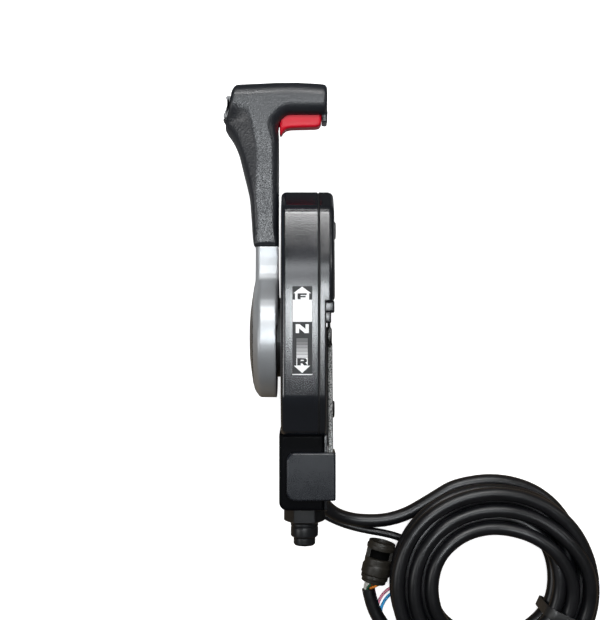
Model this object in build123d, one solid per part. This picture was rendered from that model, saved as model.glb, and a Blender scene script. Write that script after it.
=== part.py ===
from build123d import *
import os
import math

os.makedirs("parts", exist_ok=True)

# ---------------------------------------------------------------------------
# Side-mount remote control box with its lever at full forward.
# Frame: +X outboard (mounting side), +Y forward, +Z up, box standing on its
# flat bottom edge at z = 0.  Everything but the cords is drawn about the main
# shaft: x across the box, u forward of the shaft, w above the shaft.
# ---------------------------------------------------------------------------

# ---- driving dimensions (mm) ----
SHIFT_X = 18.44                # from the box's own x to the row frame
SHAFT_Y = -21.2                # main shaft axis in the row frame
SHAFT_Z = 72.0
TABLE_Y = SHAFT_Y + 24.0       # routes are laid out about a point 24 mm forward of the shaft

WALL = 3.0
X_IN = -16.0                   # inboard face of the inboard shell
X_PART = 15.1                  # parting face of the inboard shell
SEAL = 1.0
X_BACK = 21.5                  # recessed outboard face
X_RAISED = 28.7                # raised outboard face, forward part
X_MOUNT = 30.6                 # mounting plane
U_STEP = 29.7                  # where the raised part ends
W_TOP = 66.0
W_BOTTOM = -72.0

HUB_R = 52.6
CAP_R = 43.8
SHAFT_R = 8.0
RUN = 0.05                     # radial running clearance
PLATE_R = 34.7

MODULE = 2.0
Z_DRIVE = 16
Z_SHIFT = 32
SHIFT_U, SHIFT_W = -46.0, -13.71    # shift gear centre, 48 mm from the shaft

BLOCK_X0, BLOCK_X1 = -17.7, 23.5
BLOCK_U0, BLOCK_U1 = -146.0, -81.0
BLOCK_W0, BLOCK_W1 = -22.0, 36.0

KEY_X, KEY_W = 3.9, 8.0
MOUNT_R = 3.3
MOUNT_HOLES_F = [(92.0, 22.0), (92.0, -22.0)]
MOUNT_HOLES_A = [(-64.0, -8.0), (-64.0, -58.0)]
CABLE_W = (-30.0, -43.0)          # centres of the two control cable outlets

HARNESS_D = 12.5
LEAD_D = 7.0
WIRE_D = 3.0

COIL_X, COIL_Y = 179.6, -253.2      # coil centre on the table
COIL_RI, COIL_RO, COIL_H = 52.0, 97.0, 45.0


# ---- helpers ----
def cyl_x(x0, x1, r, u=0.0, w=0.0):
    return Pos((x0 + x1) / 2, u, w) * Rot(0, 90, 0) * Cylinder(r, abs(x1 - x0))


def cyl_u(u0, u1, r, x=0.0, w=0.0):
    return Pos(x, (u0 + u1) / 2, w) * Rot(90, 0, 0) * Cylinder(r, abs(u1 - u0))


def cyl_w(w0, w1, r, x=0.0, u=0.0):
    return Pos(x, u, (w0 + w1) / 2) * Cylinder(r, abs(w1 - w0))


def box(x0, x1, u0, u1, w0, w1):
    return Pos((x0 + x1) / 2, (u0 + u1) / 2, (w0 + w1) / 2) * Box(abs(x1 - x0), abs(u1 - u0), abs(w1 - w0))


def slab_x(sketch, x0, x1):
    """Extrude a sketch drawn in (u, w) across the box from x0 to x1."""
    return extrude(Plane.YZ.offset(x0) * sketch, amount=x1 - x0)


def poly_uw(pts, radii=None):
    if radii is None:
        return make_face(Polyline(*[(a, b) for a, b in pts], close=True))
    return make_face(FilletPolyline(*[(a, b) for a, b in pts], radius=radii, close=True))


def turned_x(pts):
    """Solid of revolution about the shaft from a closed (x, r) outline."""
    face = make_face(Polyline(*[(a, b, 0) for a, b in pts], close=True))
    return revolve(face, Axis.X)


def one(shape):
    """The single solid of a result, or the whole result if it is a group."""
    sol = shape.solids()
    return sol[0] if len(sol) == 1 else Compound(children=list(sol))


NODES = {}


def put(name, shape, drawn_about_shaft=True):
    sol = list(shape.solids())
    if drawn_about_shaft:
        sol = [p.moved(Location((SHIFT_X, SHAFT_Y, SHAFT_Z))) for p in sol]
    s = sol[0] if len(sol) == 1 else Compound(children=sol)
    s.label = name
    NODES[name] = s
    export_step(s, "parts/" + name + ".step")


# ---------------------------------------------------------------------------
# Box shells
# ---------------------------------------------------------------------------
OUTLINE = [(-81, -72), (44, -72), (112, -46), (126, -6), (122, 25), (108, 51.5), (58, 66), (-50, 66), (-81, 50)]
OUTLINE_R = [8, 40, 26, 30, 22, 16, 50, 22, 12]
outline = poly_uw(OUTLINE, OUTLINE_R)
inner = offset(outline, amount=-WALL)
seal_out = offset(outline, amount=-0.6)
seal_in = offset(outline, amount=-2.4)

SCREWS = [(101, 43), (114, 7), (50, 53), (-4, 54), (-62, 50), (-30, -62), (24, -62), (70, -50)]

shell = slab_x(outline, X_IN, X_PART)
shell = fillet(shell.faces().sort_by(Axis.X)[0].edges(), 4.0)
shell -= slab_x(inner, X_IN + WALL, X_PART)
shell += cyl_x(-13.5, -8.5, 14)
for (u, w) in MOUNT_HOLES_F + MOUNT_HOLES_A:
    shell += cyl_x(-13.5, X_PART, 7.5, u, w) & slab_x(outline, X_IN + 1, X_PART)
for (u, w) in SCREWS:
    shell += cyl_x(-13.5, X_PART, 5.0, u, w) & slab_x(seal_out, X_IN + 1, X_PART)
shell -= cyl_x(X_IN, -8.5, 10.0)
for (u, w) in MOUNT_HOLES_F + MOUNT_HOLES_A:
    shell -= cyl_x(X_IN, X_PART, MOUNT_R, u, w)
for (u, w) in SCREWS:
    shell -= cyl_x(-6, X_PART, 2.5, u, w)
# wire window into the aft block, and the two outlets for the control cables
shell -= box(-9, 11, -82, -77, -14, 26)
shell -= box(-7, 5, -82, -77, -49, -24.5)
# posts of the shift gear and the throttle arm stand in blind bosses
shell += cyl_x(-13.5, -9.0, 8.0, SHIFT_U, SHIFT_W)
shell += cyl_x(-13.5, -1.0, 8.0, 46, -34)
shell -= cyl_x(-13.0, -9.0, 5.0, SHIFT_U, SHIFT_W)
shell -= cyl_x(-13.0, -1.0, 5.0, 46, -34)
# nose hole of the friction screw
shell -= cyl_u(60, 128, 3.05, 11.0, -12.0)
shell -= cyl_u(124.4, 130, 5.0, 11.0, -12.0)
put("housing", shell)

seal = slab_x(seal_out - seal_in, X_PART, X_PART + SEAL)
put("case_seal", seal)

X0 = X_PART + SEAL
front = poly_uw([(U_STEP, -90), (140, -90), (140, 90), (U_STEP, 90)])
raised = outline & front
back = slab_x(outline, X0, X_BACK) + slab_x(raised, X_BACK - 0.5, X_RAISED)
back -= slab_x(inner, X0, X_BACK - WALL)
front_in = poly_uw([(U_STEP + 3, -90), (140, -90), (140, 90), (U_STEP + 3, 90)])
back -= slab_x(inner & front_in, X0, X_RAISED - WALL)
for (u, w) in MOUNT_HOLES_F + MOUNT_HOLES_A:
    back += cyl_x(X0, X_MOUNT, 7.5, u, w) & slab_x(outline, X0, X_MOUNT)
    back += cyl_x(X_BACK, X_MOUNT, 7.5, u, w)
for (u, w) in SCREWS:
    top = X_RAISED if u > U_STEP else X_BACK
    back += cyl_x(X0, top - 0.5, 5.0, u, w) & slab_x(seal_out, X0, top - 0.5)
back += cyl_x(13.8, X_BACK, 14)
back += cyl_x(X_BACK - 0.5, 28.0, 6.7)
back -= cyl_x(13.8, 19.8, 10.0)
back -= cyl_x(20.4, 28.0, 2.0)
for (u, w) in MOUNT_HOLES_F + MOUNT_HOLES_A:
    back -= cyl_x(X0, X_MOUNT, MOUNT_R, u, w)
for (u, w) in SCREWS:
    top = X_RAISED if u > U_STEP else X_BACK
    back -= cyl_x(X0, top, 2.5, u, w)
    back -= cyl_x(top - 3.0, top, 4.75, u, w)
put("back_cover", back)

heads = []
for (u, w) in SCREWS:
    top = X_RAISED if u > U_STEP else X_BACK
    s = cyl_x(-6, top - 3.0, 2.5, u, w) + cyl_x(top - 3.0, top - 0.6, 4.5, u, w)
    s -= box(top - 1.6, top, u - 3.2, u + 3.2, w - 0.5, w + 0.5)
    s -= box(top - 1.6, top, u - 0.5, u + 0.5, w - 3.2, w + 3.2)
    heads.append(one(s))
put("case_screws", Compound(children=heads))

# flat strip with the three gear positions, on the flat of the top edge
put("gear_decal", box(-6.2, 10.0, -29.0, 43.5, W_TOP, W_TOP + 0.3))

# fixed disc behind the hub with the neutral notch in its rim
plate = cyl_x(-19.8, -16.0, PLATE_R) - cyl_x(-19.8, -16.0, 10.0)
plate -= box(-19.8, -16.0, -3.0, 3.0, 30.7, 36.0)
put("neutral_lock_plate", plate)

put("inboard_bushing", cyl_x(-18.0, -8.5, 10.0) - cyl_x(-18.0, -8.5, SHAFT_R + RUN))
put("outboard_bushing", cyl_x(13.8, 19.4, 10.0) - cyl_x(13.8, 19.4, SHAFT_R + RUN))

# ---------------------------------------------------------------------------
# Aft switch block
# ---------------------------------------------------------------------------
blk = box(BLOCK_X0, BLOCK_X1, BLOCK_U0, BLOCK_U1, BLOCK_W0, BLOCK_W1)
blk = fillet(blk.edges().filter_by(Axis.Z).group_by(Axis.Y)[0], 7.0)
blk = fillet(blk.faces().sort_by(Axis.X)[0].edges().filter_by(Axis.Y), 3.0)
blk -= box(BLOCK_X0 + WALL, BLOCK_X1, BLOCK_U0 + WALL, BLOCK_U1 - WALL, BLOCK_W0 + WALL, BLOCK_W1 - WALL)
blk -= box(-9, 11, BLOCK_U1 - 4, BLOCK_U1 + 1, -14, 26)
blk -= cyl_u(BLOCK_U0 - 1, BLOCK_U0 + WALL + 1, 9.0, KEY_X, KEY_W)
MAIN_X, MAIN_U = 6.0, -129.0
LEADX, LEADU = -8.0, -137.0
blk -= cyl_w(BLOCK_W0 - 1, BLOCK_W0 + WALL + 1, 8.0, MAIN_X, MAIN_U)
blk -= cyl_w(BLOCK_W0 - 1, BLOCK_W0 + WALL + 1, 4.7, LEADX, LEADU)
blk -= box(20.5, BLOCK_X1 + 1, BLOCK_U0 - 1, BLOCK_U1 + 1, BLOCK_W0 - 1, BLOCK_W1 + 1)
put("switch_housing", blk)

cov = box(20.5, BLOCK_X1, BLOCK_U0, BLOCK_U1, BLOCK_W0, BLOCK_W1)
cov = fillet(cov.faces().sort_by(Axis.Y)[0].edges().filter_by(Axis.X), 2.5)
put("switch_cover", cov)

# key switch
put("key_switch_body",
    cyl_u(-143.0, -104.0, 12.0, KEY_X, KEY_W) + cyl_u(-160.0, -142.9, 8.9, KEY_X, KEY_W)
    - cyl_u(-160.0, -128.0, 7.0, KEY_X, KEY_W))
hexa = extrude(Plane.XZ.offset(146.0) * (RegularPolygon(15.7, 6, major_radius=False) - Circle(8.95)), amount=14.0)
hexa = hexa.moved(Location((KEY_X, 0, KEY_W)))
put("key_switch_nut", hexa)
put("key_switch_ring",
    cyl_u(-173.1, -160.0, 11.95, KEY_X, KEY_W) - cyl_u(-174.0, -159.0, 7.05, KEY_X, KEY_W))
rotor = cyl_u(-173.4, -128.4, 6.98, KEY_X, KEY_W) + cyl_u(-180.5, -173.3, 9.5, KEY_X, KEY_W)
rotor -= box(KEY_X - 1.2, KEY_X + 1.2, -181, -160, KEY_W - 4.2, KEY_W + 4.2)
put("key_cylinder", rotor)

# boots where the two cords leave the block's underside
BOOT_W = -28.0
boot = cyl_w(-19.0, -17.5, 10.5, MAIN_X, MAIN_U) + cyl_w(BOOT_W, -19.0, 7.95, MAIN_X, MAIN_U)
boot += cyl_w(-25.0, -22.0, 9.6, MAIN_X, MAIN_U)
boot -= cyl_w(-40.0, -10.0, HARNESS_D / 2, MAIN_X, MAIN_U)
put("harness_boot", boot)
boot2 = cyl_w(BOOT_W, -19.0, 4.65, LEADX, LEADU) + cyl_w(-25.0, -22.0, 6.2, LEADX, LEADU)
boot2 += cyl_w(-19.0, -17.5, 5.6, LEADX, LEADU)
boot2 -= cyl_w(-40.0, -10.0, LEAD_D / 2, LEADX, LEADU)
put("lead_boot", boot2)

# clamp for the two control cables, on the aft lower face of the box
clamp = box(-13, 11, -88.5, -81.0, -52, -22.2)
for w in CABLE_W:
    clamp -= cyl_u(-90, -80, 5.0, -1, w)
put("cable_clamp", clamp)

# ---------------------------------------------------------------------------
# Inside the box
# ---------------------------------------------------------------------------


def involute(a):
    return math.tan(a) - a


def gear_points(teeth, first_deg, count, slack=0.35):
    """Flank points of count teeth, the first centred on first_deg."""
    rp = MODULE * teeth / 2
    rb = rp * math.cos(math.radians(20))
    ra = rp + 0.9 * MODULE
    rf = rp - 1.2 * MODULE
    half = math.pi / (2 * teeth) - slack / (2 * rp)
    pts = []
    for k in range(count):
        c = math.radians(first_deg) + k * 2 * math.pi / teeth
        rad = [rf] + [max(rb, rf) + (ra - max(rb, rf)) * i / 4 for i in range(5)]
        side = []
        for r in rad:
            rr = max(r, rb)
            h = half + involute(math.radians(20)) - involute(math.acos(min(1.0, rb / rr)))
            side.append((r, h))
        for r, h in side:
            pts.append((r * math.cos(c - h), r * math.sin(c - h)))
        for r, h in reversed(side):
            pts.append((r * math.cos(c + h), r * math.sin(c + h)))
    return pts


mesh_dir = math.degrees(math.atan2(-SHIFT_W, -SHIFT_U))          # from the shift gear to the shaft
drive = slab_x(poly_uw(gear_points(Z_DRIVE, mesh_dir + 180.0, Z_DRIVE)), -8.0, 0.0) - cyl_x(-8, 0, SHAFT_R)
put("drive_gear", drive)

first = mesh_dir + 180.0 / Z_SHIFT - 2 * 360.0 / Z_SHIFT
teeth = gear_points(Z_SHIFT, first, 11)
sector = slab_x(poly_uw([(0, 0)] + teeth), -8.0, 0.0) + cyl_x(-8.9, 1.0, 9.0)
ARM_L = 32.0
arm_dir = math.radians(310.0)
ax, ay = ARM_L * math.cos(arm_dir), ARM_L * math.sin(arm_dir)
nx, ny = -math.sin(arm_dir), math.cos(arm_dir)
arm = slab_x(poly_uw([(7 * nx, 7 * ny), (ax + 5 * nx, ay + 5 * ny), (ax - 5 * nx, ay - 5 * ny), (-7 * nx, -7 * ny)]), -7.0, -1.0)
arm += cyl_x(-7, -1, 6.0, ax, ay)
sector += arm
sector -= cyl_x(-20, 10, 5.0 + RUN)
sector -= cyl_x(-8, 0, 3.0, ax, ay)
put("shift_gear", sector.moved(Location((0, SHIFT_U, SHIFT_W))))
pin = cyl_x(-9.0, 4.5, 3.0, ax, ay) + cyl_x(-9.0, -7.0, 4.5, ax, ay)
put("shift_cable_pin", pin.moved(Location((0, SHIFT_U, SHIFT_W))))
put("shift_gear_post", cyl_x(-13.0, 3.0, 5.0, SHIFT_U, SHIFT_W) + cyl_x(1.3, 3.0, 7.5, SHIFT_U, SHIFT_W))

# throttle cam on the shaft, and the arm its nose pushes
cam_pts = []
for i in range(48):
    a = math.radians(i * 7.5)
    d = math.degrees(math.atan2(math.sin(a - math.radians(100)), math.cos(a - math.radians(100))))
    r = 19.0 + 7.5 * max(0.0, math.cos(math.radians(d) / 2)) ** 4
    cam_pts.append((r * math.cos(a), r * math.sin(a)))
put("throttle_cam", slab_x(poly_uw(cam_pts), 2.0, 7.0) - cyl_x(2, 7, SHAFT_R))

TP = (46.0, -34.0)
TR = (14.0, -30.5)
TC = (41.0, -58.0)


def bar_uw(a, b, r, x0, x1):
    du, dw = b[0] - a[0], b[1] - a[1]
    n = math.hypot(du, dw)
    pu, pw = -dw / n * r, du / n * r
    s = slab_x(poly_uw([(a[0] + pu, a[1] + pw), (b[0] + pu, b[1] + pw), (b[0] - pu, b[1] - pw), (a[0] - pu, a[1] - pw)]), x0, x1)
    return s + cyl_x(x0, x1, r, *a) + cyl_x(x0, x1, r, *b)


tarm = bar_uw(TP, TR, 5.0, 2.5, 5.0) + bar_uw(TP, TC, 5.0, 2.5, 5.0) + cyl_x(-0.7, 7.4, 8.0, *TP)
tarm -= cyl_x(-2, 9, 5.0 + RUN, *TP)
tarm -= cyl_x(2, 8, 2.0, *TR)
tarm -= cyl_x(2, 8, 3.0, *TC)
put("throttle_arm", tarm)
roll = cyl_x(1.0, 8.6, 2.0, *TR) + cyl_x(5.0, 8.0, 5.0, *TR)
put("throttle_roller", roll)
tpin = cyl_x(1.0, 12.0, 3.0, *TC) + cyl_x(1.0, 2.5, 4.5, *TC)
put("throttle_cable_pin", tpin)
put("throttle_arm_post", cyl_x(-13.0, 9.0, 5.0, *TP) + cyl_x(7.6, 9.0, 7.5, *TP))

# detent wheel: three notches for forward, neutral and reverse
wheel = cyl_x(9.0, 13.0, 26.0)
for d in (212.0, 180.0, 148.0):
    a = math.radians(d)
    wheel -= cyl_x(9, 13, 3.6, 27.2 * math.cos(a), 27.2 * math.sin(a))
wheel -= cyl_x(9, 13, SHAFT_R)
put("detent_wheel", wheel)
plunger = cyl_w(-38.0, -29.8, 3.5, 11.0, 0.0) + Pos(11.0, 0.0, -29.8) * Sphere(3.5)
put("detent_plunger", plunger)
bracket = box(5.8, 13.3, -8, 8, -69.0, -32.0) - cyl_w(-52.0, -30.0, 3.56, 11.0, 0.0)
bracket -= box(5.8, 13.4, -8.1, 8.1, -70, -60)
bracket += box(5.8, 13.3, -8, 8, -69.0, -59.9)
put("detent_bracket", bracket)
put("detent_spring", cyl_w(-52.0, -38.0, 3.0, 11.0, 0.0) - cyl_w(-52.0, -38.0, 1.9, 11.0, 0.0))

# friction screw and shoe
shoe = box(9.0, 13.0, 23.0, 33.0, -20.0, -4.0) - cyl_x(8.9, 13.1, 26.2)
put("friction_shoe", shoe)
fs = cyl_u(33.2, 125.0, 3.0, 11.0, -12.0) + cyl_u(124.6, 125.9, 4.8, 11.0, -12.0)
fs -= box(4, 18, 125.2, 127, -12.7, -11.3)
put("friction_screw", fs)

put("neutral_switch", box(-12.9, -2.0, 12, 34, 38, 52) + box(-9.0, -6.0, 18, 21, 34.5, 38.1))
put("warning_buzzer", cyl_w(32.0, 48.0, 11.0, -1.0, -34.0) + cyl_w(48.0, 51.0, 6.0, -1.0, -34.0))

# ---------------------------------------------------------------------------
# Lever: hub, arm, grip and what rides in them
# ---------------------------------------------------------------------------
put("main_shaft", cyl_x(-29.0, 19.3, SHAFT_R) - cyl_x(-29.0, -6.0, 4.0))

hub = turned_x([(-20.1, 8.0), (-20.1, 52.0), (-21.0, 52.6), (-33.8, 52.6), (-35.4, 52.0), (-41.0, 44.8), (-41.0, 43.9), (-36.0, 43.9), (-36.0, 12.0), (-29.0, 12.0), (-29.0, 8.0)])
flare = make_face([
    Line((20, 44.8), (30.0, 43.2)),
    ThreePointArc((30.0, 43.2), (45.0, 22.5), (70.0, 13.3)),
    Line((70.0, 13.3), (79.3, 13.0)),
    Line((79.3, 13.0), (79.3, -13.0)),
    Line((79.3, -13.0), (70.0, -13.3)),
    ThreePointArc((70.0, -13.3), (45.0, -22.5), (30.0, -43.2)),
    Line((30.0, -43.2), (20, -44.8)),
    Line((20, -44.8), (20, 44.8))])
neck = slab_x(flare, -37.6, -18.4)
neck -= cyl_x(-40, -16, 36.2)
neck -= cyl_x(-38, -36, 43.9)
neck = chamfer(neck.edges().filter_by(lambda e: abs(e.center().X + 37.6) < 0.01 and e.center().Y > 50), 2.4)
arm_body = hub + neck
arm_body += box(-33, -23, 79.0, 186.0, -9, 9)
# channel of the lock rod along the outboard side
arm_body -= box(-22.8, -18.0, 35.0, 79.5, -3.2, 3.2)
put("lever_arm", arm_body)

cap = turned_x([(-36.0, 43.8), (-41.0, 43.8), (-42.6, 42.6), (-43.6, 38.0), (-44.0, 28.0), (-44.0, 0.0), (-42.2, 0.0), (-42.2, 28.0), (-41.8, 37.0), (-41.0, 40.8), (-36.0, 40.8)])
put("hub_cap", cap)
put("hub_washer", cyl_x(-31.0, -29.0, 11.5) - cyl_x(-31.0, -29.0, 4.0))
bolt = cyl_x(-31.0, -7.0, 4.0)
bolt += extrude(Plane.YZ.offset(-36.5) * RegularPolygon(6.5, 6, major_radius=False), amount=5.5)
put("hub_bolt", bolt)

# grip, drawn in (x, u) and given its thickness in w
GRIP = [(-40.3, 79.3), (-41.3, 88), (-42.2, 101), (-43.2, 115), (-44.1, 122.6), (-46.6, 133), (-49.3, 143.7), (-52.8, 157.8), (-55.4, 164.8), (-58.2, 170.5), (-61.0, 174.6), (-64.4, 178.6), (-65.3, 182.0),
        (-65.3, 188.0), (-62.7, 196.5), (-60.9, 206.0), (-59.6, 214.0), (-57.6, 220.4), (-52.0, 221.3), (-20.0, 222.7), (-2.0, 222.9), (15, 222.0), (22.6, 220.4), (23.8, 218.6),
        (23.8, 187.6), (19.8, 187.6), (19.8, 192.8), (-12.0, 192.8), (-18.5, 186.0), (-18.5, 79.3)]
gsk = make_face(Polyline(*[(a, b) for a, b in GRIP], close=True))
grip = extrude(Plane.XY.offset(-18.0) * gsk, amount=36.0)
side = poly_uw([(79.3, 14.0), (120, 15.5), (165, 16.5), (185, 18.0), (223.1, 18.0), (223.1, -18.0), (185, -18.0), (165, -16.5), (120, -15.5), (79.3, -14.0)])
grip &= slab_x(side, -80, 40)
# round the long edges with chamfered bands
barcut = poly_uw([(192.0, 11.0), (197.0, 18.2), (188.0, 18.2)])
grip -= slab_x(poly_uw([(223.2, 10.0), (223.2, 18.2), (214.0, 18.2)]), -80, 40)
grip -= slab_x(poly_uw([(223.2, -10.0), (223.2, -18.2), (214.0, -18.2)]), -80, 40)
grip -= slab_x(poly_uw([(192.7, 11.5), (192.7, 18.2), (199.5, 18.2)]), -18.0, 40)
grip -= slab_x(poly_uw([(192.7, -11.5), (192.7, -18.2), (199.5, -18.2)]), -18.0, 40)
# tang socket, rod passage and trigger pocket
grip -= box(-33, -23, 79.0, 186.0, -9, 9)
grip -= box(-23.1, -18.9, 79.0, 195.0, -3.4, 3.4)
grip -= box(-18.6, 19.5, 192.0, 205.5, -9.6, 9.6)
grip -= box(-23.1, -15.5, 186.0, 205.5, -9.6, 9.6)
grip -= box(-19.0, -8.0, 180.0, 205.5, -9.6, 9.6)
# seat of the rocker in the left end face
ROCK_X, ROCK_U = -60.0, 202.0
rock_tilt = -3.0
grip -= Pos(-63.2, 201.5, 0) * Rot(0, 0, 3.5) * Box(9.0, 26.0, 15.0)
put("grip", grip)

bez = Pos(1.5, 0, 0) * Box(6.0, 26.0, 15.0) - Box(12.0, 22.6, 12.6) + Pos(4.1, 0, 0) * Box(0.8, 26.0, 15.0)
put("trim_bezel", Pos(-63.2, 201.5, 0) * Rot(0, 0, 3.5) * bez)
rk = extrude(Plane.XY.offset(-6.0) * make_face(Polyline((-2.0, -11.0), (2.2, -9.8), (2.2, 9.8), (-2.0, 11.0), (-3.6, 8.0), (-2.6, 0), (-3.6, -8.0), close=True)), amount=12.0)
rk &= Pos(0, 0, 0) * Box(9.0, 21.6, 12.0)
rocker = Pos(-63.4, 201.5, 0) * Rot(0, 0, 3.5) * rk
put("trim_rocker", rocker)

# trigger: blade under the bar, hooked down beside the arm, lifted straight up with the lock rod
tg = make_face(Polyline((-17.7, 190.0), (-17.7, 177.4), (-16.4, 177.0), (-14.6, 179.9), (-12.2, 181.9), (-8.6, 182.9), (13.6, 183.5), (17.0, 184.3), (18.6, 187.0), (18.6, 197.6), (-19.3, 197.6), (-19.3, 190.0), close=True))
trig = extrude(Plane.XY.offset(-8.8) * tg, amount=17.6)
trig -= cyl_x(-23, -9, 1.5, 193.5, 0)
put("trigger", trig)
put("trigger_pin", cyl_x(-22.5, -9.0, 1.5, 193.5, 0))
rod = box(-22.5, -19.3, 35.3, 198.0, -2.9, 2.9) - cyl_x(-23, -9, 1.5, 193.5, 0)
put("lock_rod", rod)
put("trigger_spring", cyl_u(201.9, 205.5, 3.0, 4.0, 0.0) - cyl_u(201.9, 205.5, 2.0, 4.0, 0.0))

# ---------------------------------------------------------------------------
# Neutral throttle lever on the outboard side
# ---------------------------------------------------------------------------
na = bar_uw((0, 0), (-88.0, 20.5), 7.5, 24.2, 27.3) + cyl_x(24.2, 27.3, 13.0)
na += slab_x(poly_uw([(-80, 12), (-80, 28), (-108, 33), (-128, 33), (-128, 18), (-108, 16)]), 24.2, 27.3)
na -= cyl_x(24, 28, 6.7 + RUN)
na -= cyl_x(20, 40, 2.0, -104, 25)
na -= cyl_x(20, 40, 2.0, -122, 25)
put("neutral_throttle_arm", na)
hd = box(-11.4, 30.0, -136.3, -95.8, 39.5, 43.0)
hd = fillet(hd.edges().filter_by(Axis.Z).sort_by(Axis.X)[:2], 7.5)
hd += box(27.5, 30.0, -136.3, -95.8, 12.0, 43.0)
hd += box(-9.0, 27.6, -99.5, -96.5, 37.6, 39.6)
hd = hd - cyl_x(20, 40, 2.0, -104, 25) - cyl_x(20, 40, 2.0, -122, 25)
put("neutral_throttle_handle", hd)
put("neutral_throttle_rivets", Compound(children=[one(cyl_x(24.2, 30.0, 2.0, u, 25) + cyl_x(23.9, 24.2, 3.4, u, 25)) for u in (-104, -122)]))
put("neutral_pivot_screw", cyl_x(20.4, 28.0, 2.0) + cyl_x(28.0, 29.6, 9.0) - box(29.0, 30, -4, 4, -0.6, 0.6))

# ---------------------------------------------------------------------------
# Cords (row frame directly; the routes are laid out on the table)
# ---------------------------------------------------------------------------


def on_table(pts):
    return [(x + SHIFT_X, y + TABLE_Y, z) for x, y, z in pts]


def tube(name, pts, d):
    v = [Vector(*p) for p in pts]
    radii = []
    for i in range(1, len(v) - 1):
        a, b = v[i] - v[i - 1], v[i + 1] - v[i]
        turn = math.radians(a.get_angle(b))
        radii.append(0.45 * min(a.length, b.length) / math.tan(turn / 2))
    path = FilletPolyline(*pts, radius=radii)
    prof = Plane(origin=pts[0], z_dir=(v[1] - v[0]).normalized()) * Circle(d / 2)
    s = sweep(prof, path=path)
    runs = [(v[i + 1] - v[i]).length for i in range(len(v) - 1)]
    ideal = math.pi * d * d / 4 * path.length
    print(name, "length %.1f" % path.length, "volume ratio %.4f" % (s.volume / ideal))
    print("   radii", [round(r, 1) for r in radii], "least %.2f d" % (min(radii) / d))
    print("   runs", [round(r, 1) for r in runs], "longest %.1f d" % (max(runs) / d))
    return s


MAIN_ROUTE = [(6, -153, 44), (6, -153, 34), (8.8, -157.0, 23.5), (15.5, -166.5, 14.2), (26, -179.5, 8.6), (41, -191.0, 6.5), (60, -197.8, 6.3), (81, -198.6, 6.3),
              (100, -193.0, 6.3), (115, -184.5, 6.4), (128, -176.5, 6.6)]
TAIL_ROUTE = [(172, -343.5, 6.6), (147, -341.5, 6.5), (122.5, -334.5, 6.3), (101, -322.5, 6.3), (85.5, -306.5, 6.3), (73.5, -290.5, 6.3), (67.4, -276.8, 6.3), (64.4, -262.5, 6.3)]
LEAD_ROUTE = [(-8, -161, 44), (-8, -161, 34), (-5.6, -164.8, 22), (1, -174.8, 11.5), (12.5, -187.5, 5), (28.0, -197.2, 3.6), (44, -203.8, 3.5), (62, -208.2, 3.5), (80, -211.2, 3.5),
              (94, -214.9, 3.5), (104.7, -220.6, 3.5), (111.4, -230.0, 3.5), (113.0, -241.4, 3.5), (109.4, -252.3, 3.5), (101.2, -260.3, 3.5)]
PINK_ROUTE = [(101.2, -257.4, 2.9), (93.5, -260.6, 1.8), (85.3, -263.5, 1.6), (78.0, -269.8, 1.6), (74.0, -277.8, 1.6), (72.4, -286.5, 2.6), (72.8, -294.0, 4.0)]
BLUE_ROUTE = [(102.4, -260.2, 2.9), (94.0, -264.6, 1.8), (85.4, -269.4, 1.6), (79.8, -275.8, 1.6), (76.6, -283.3, 1.6), (76.4, -291.2, 2.6), (78.0, -297.5, 4.0)]

run = tube("harness_run", on_table(MAIN_ROUTE), HARNESS_D)
put("harness_run", run, False)
tail = tube("harness_tail", on_table(TAIL_ROUTE), HARNESS_D)
put("harness_tail", tail, False)
lead = tube("lead_run", on_table(LEAD_ROUTE), LEAD_D)
put("lead_run", lead, False)
put("pink_wire", tube("pink_wire", on_table(PINK_ROUTE), WIRE_D), False)
put("blue_wire", tube("blue_wire", on_table(BLUE_ROUTE), WIRE_D), False)

csk = Plane.XZ * make_face(FilletPolyline((COIL_RI, 0), (COIL_RO, 0), (COIL_RO, COIL_H), (COIL_RI, COIL_H), radius=[6, 6, 8, 8], close=True))
coil = revolve(csk, Axis.Z)
coil = coil.moved(Location((COIL_X + SHIFT_X, COIL_Y + TABLE_Y, 0)))
put("harness_coil", coil, False)

tie_a = math.radians(-25.0)
tie = Box(COIL_RO - COIL_RI + 1.6, 9.0, COIL_H + 0.8) - Box(COIL_RO - COIL_RI, 10.0, COIL_H - 0.8)
tie = Pos(COIL_X + SHIFT_X + 74.5 * math.cos(tie_a), COIL_Y + TABLE_Y + 74.5 * math.sin(tie_a), COIL_H / 2 + 0.4) * Rot(0, 0, -25.0) * tie
put("cord_tie", tie, False)

# connector at the end of the harness, lying on the table
CON_C = (72.4 + SHIFT_X, -238.0 + TABLE_Y, 13.7)
con_dir = Vector(math.sin(math.radians(13)), math.cos(math.radians(13)), 0)
cpl = Plane(origin=CON_C, z_dir=(con_dir.X, con_dir.Y, 0))


def on_con(a, b, r):
    return cpl * (Pos(0, 0, (a + b) / 2) * Cylinder(r, b - a))


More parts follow.
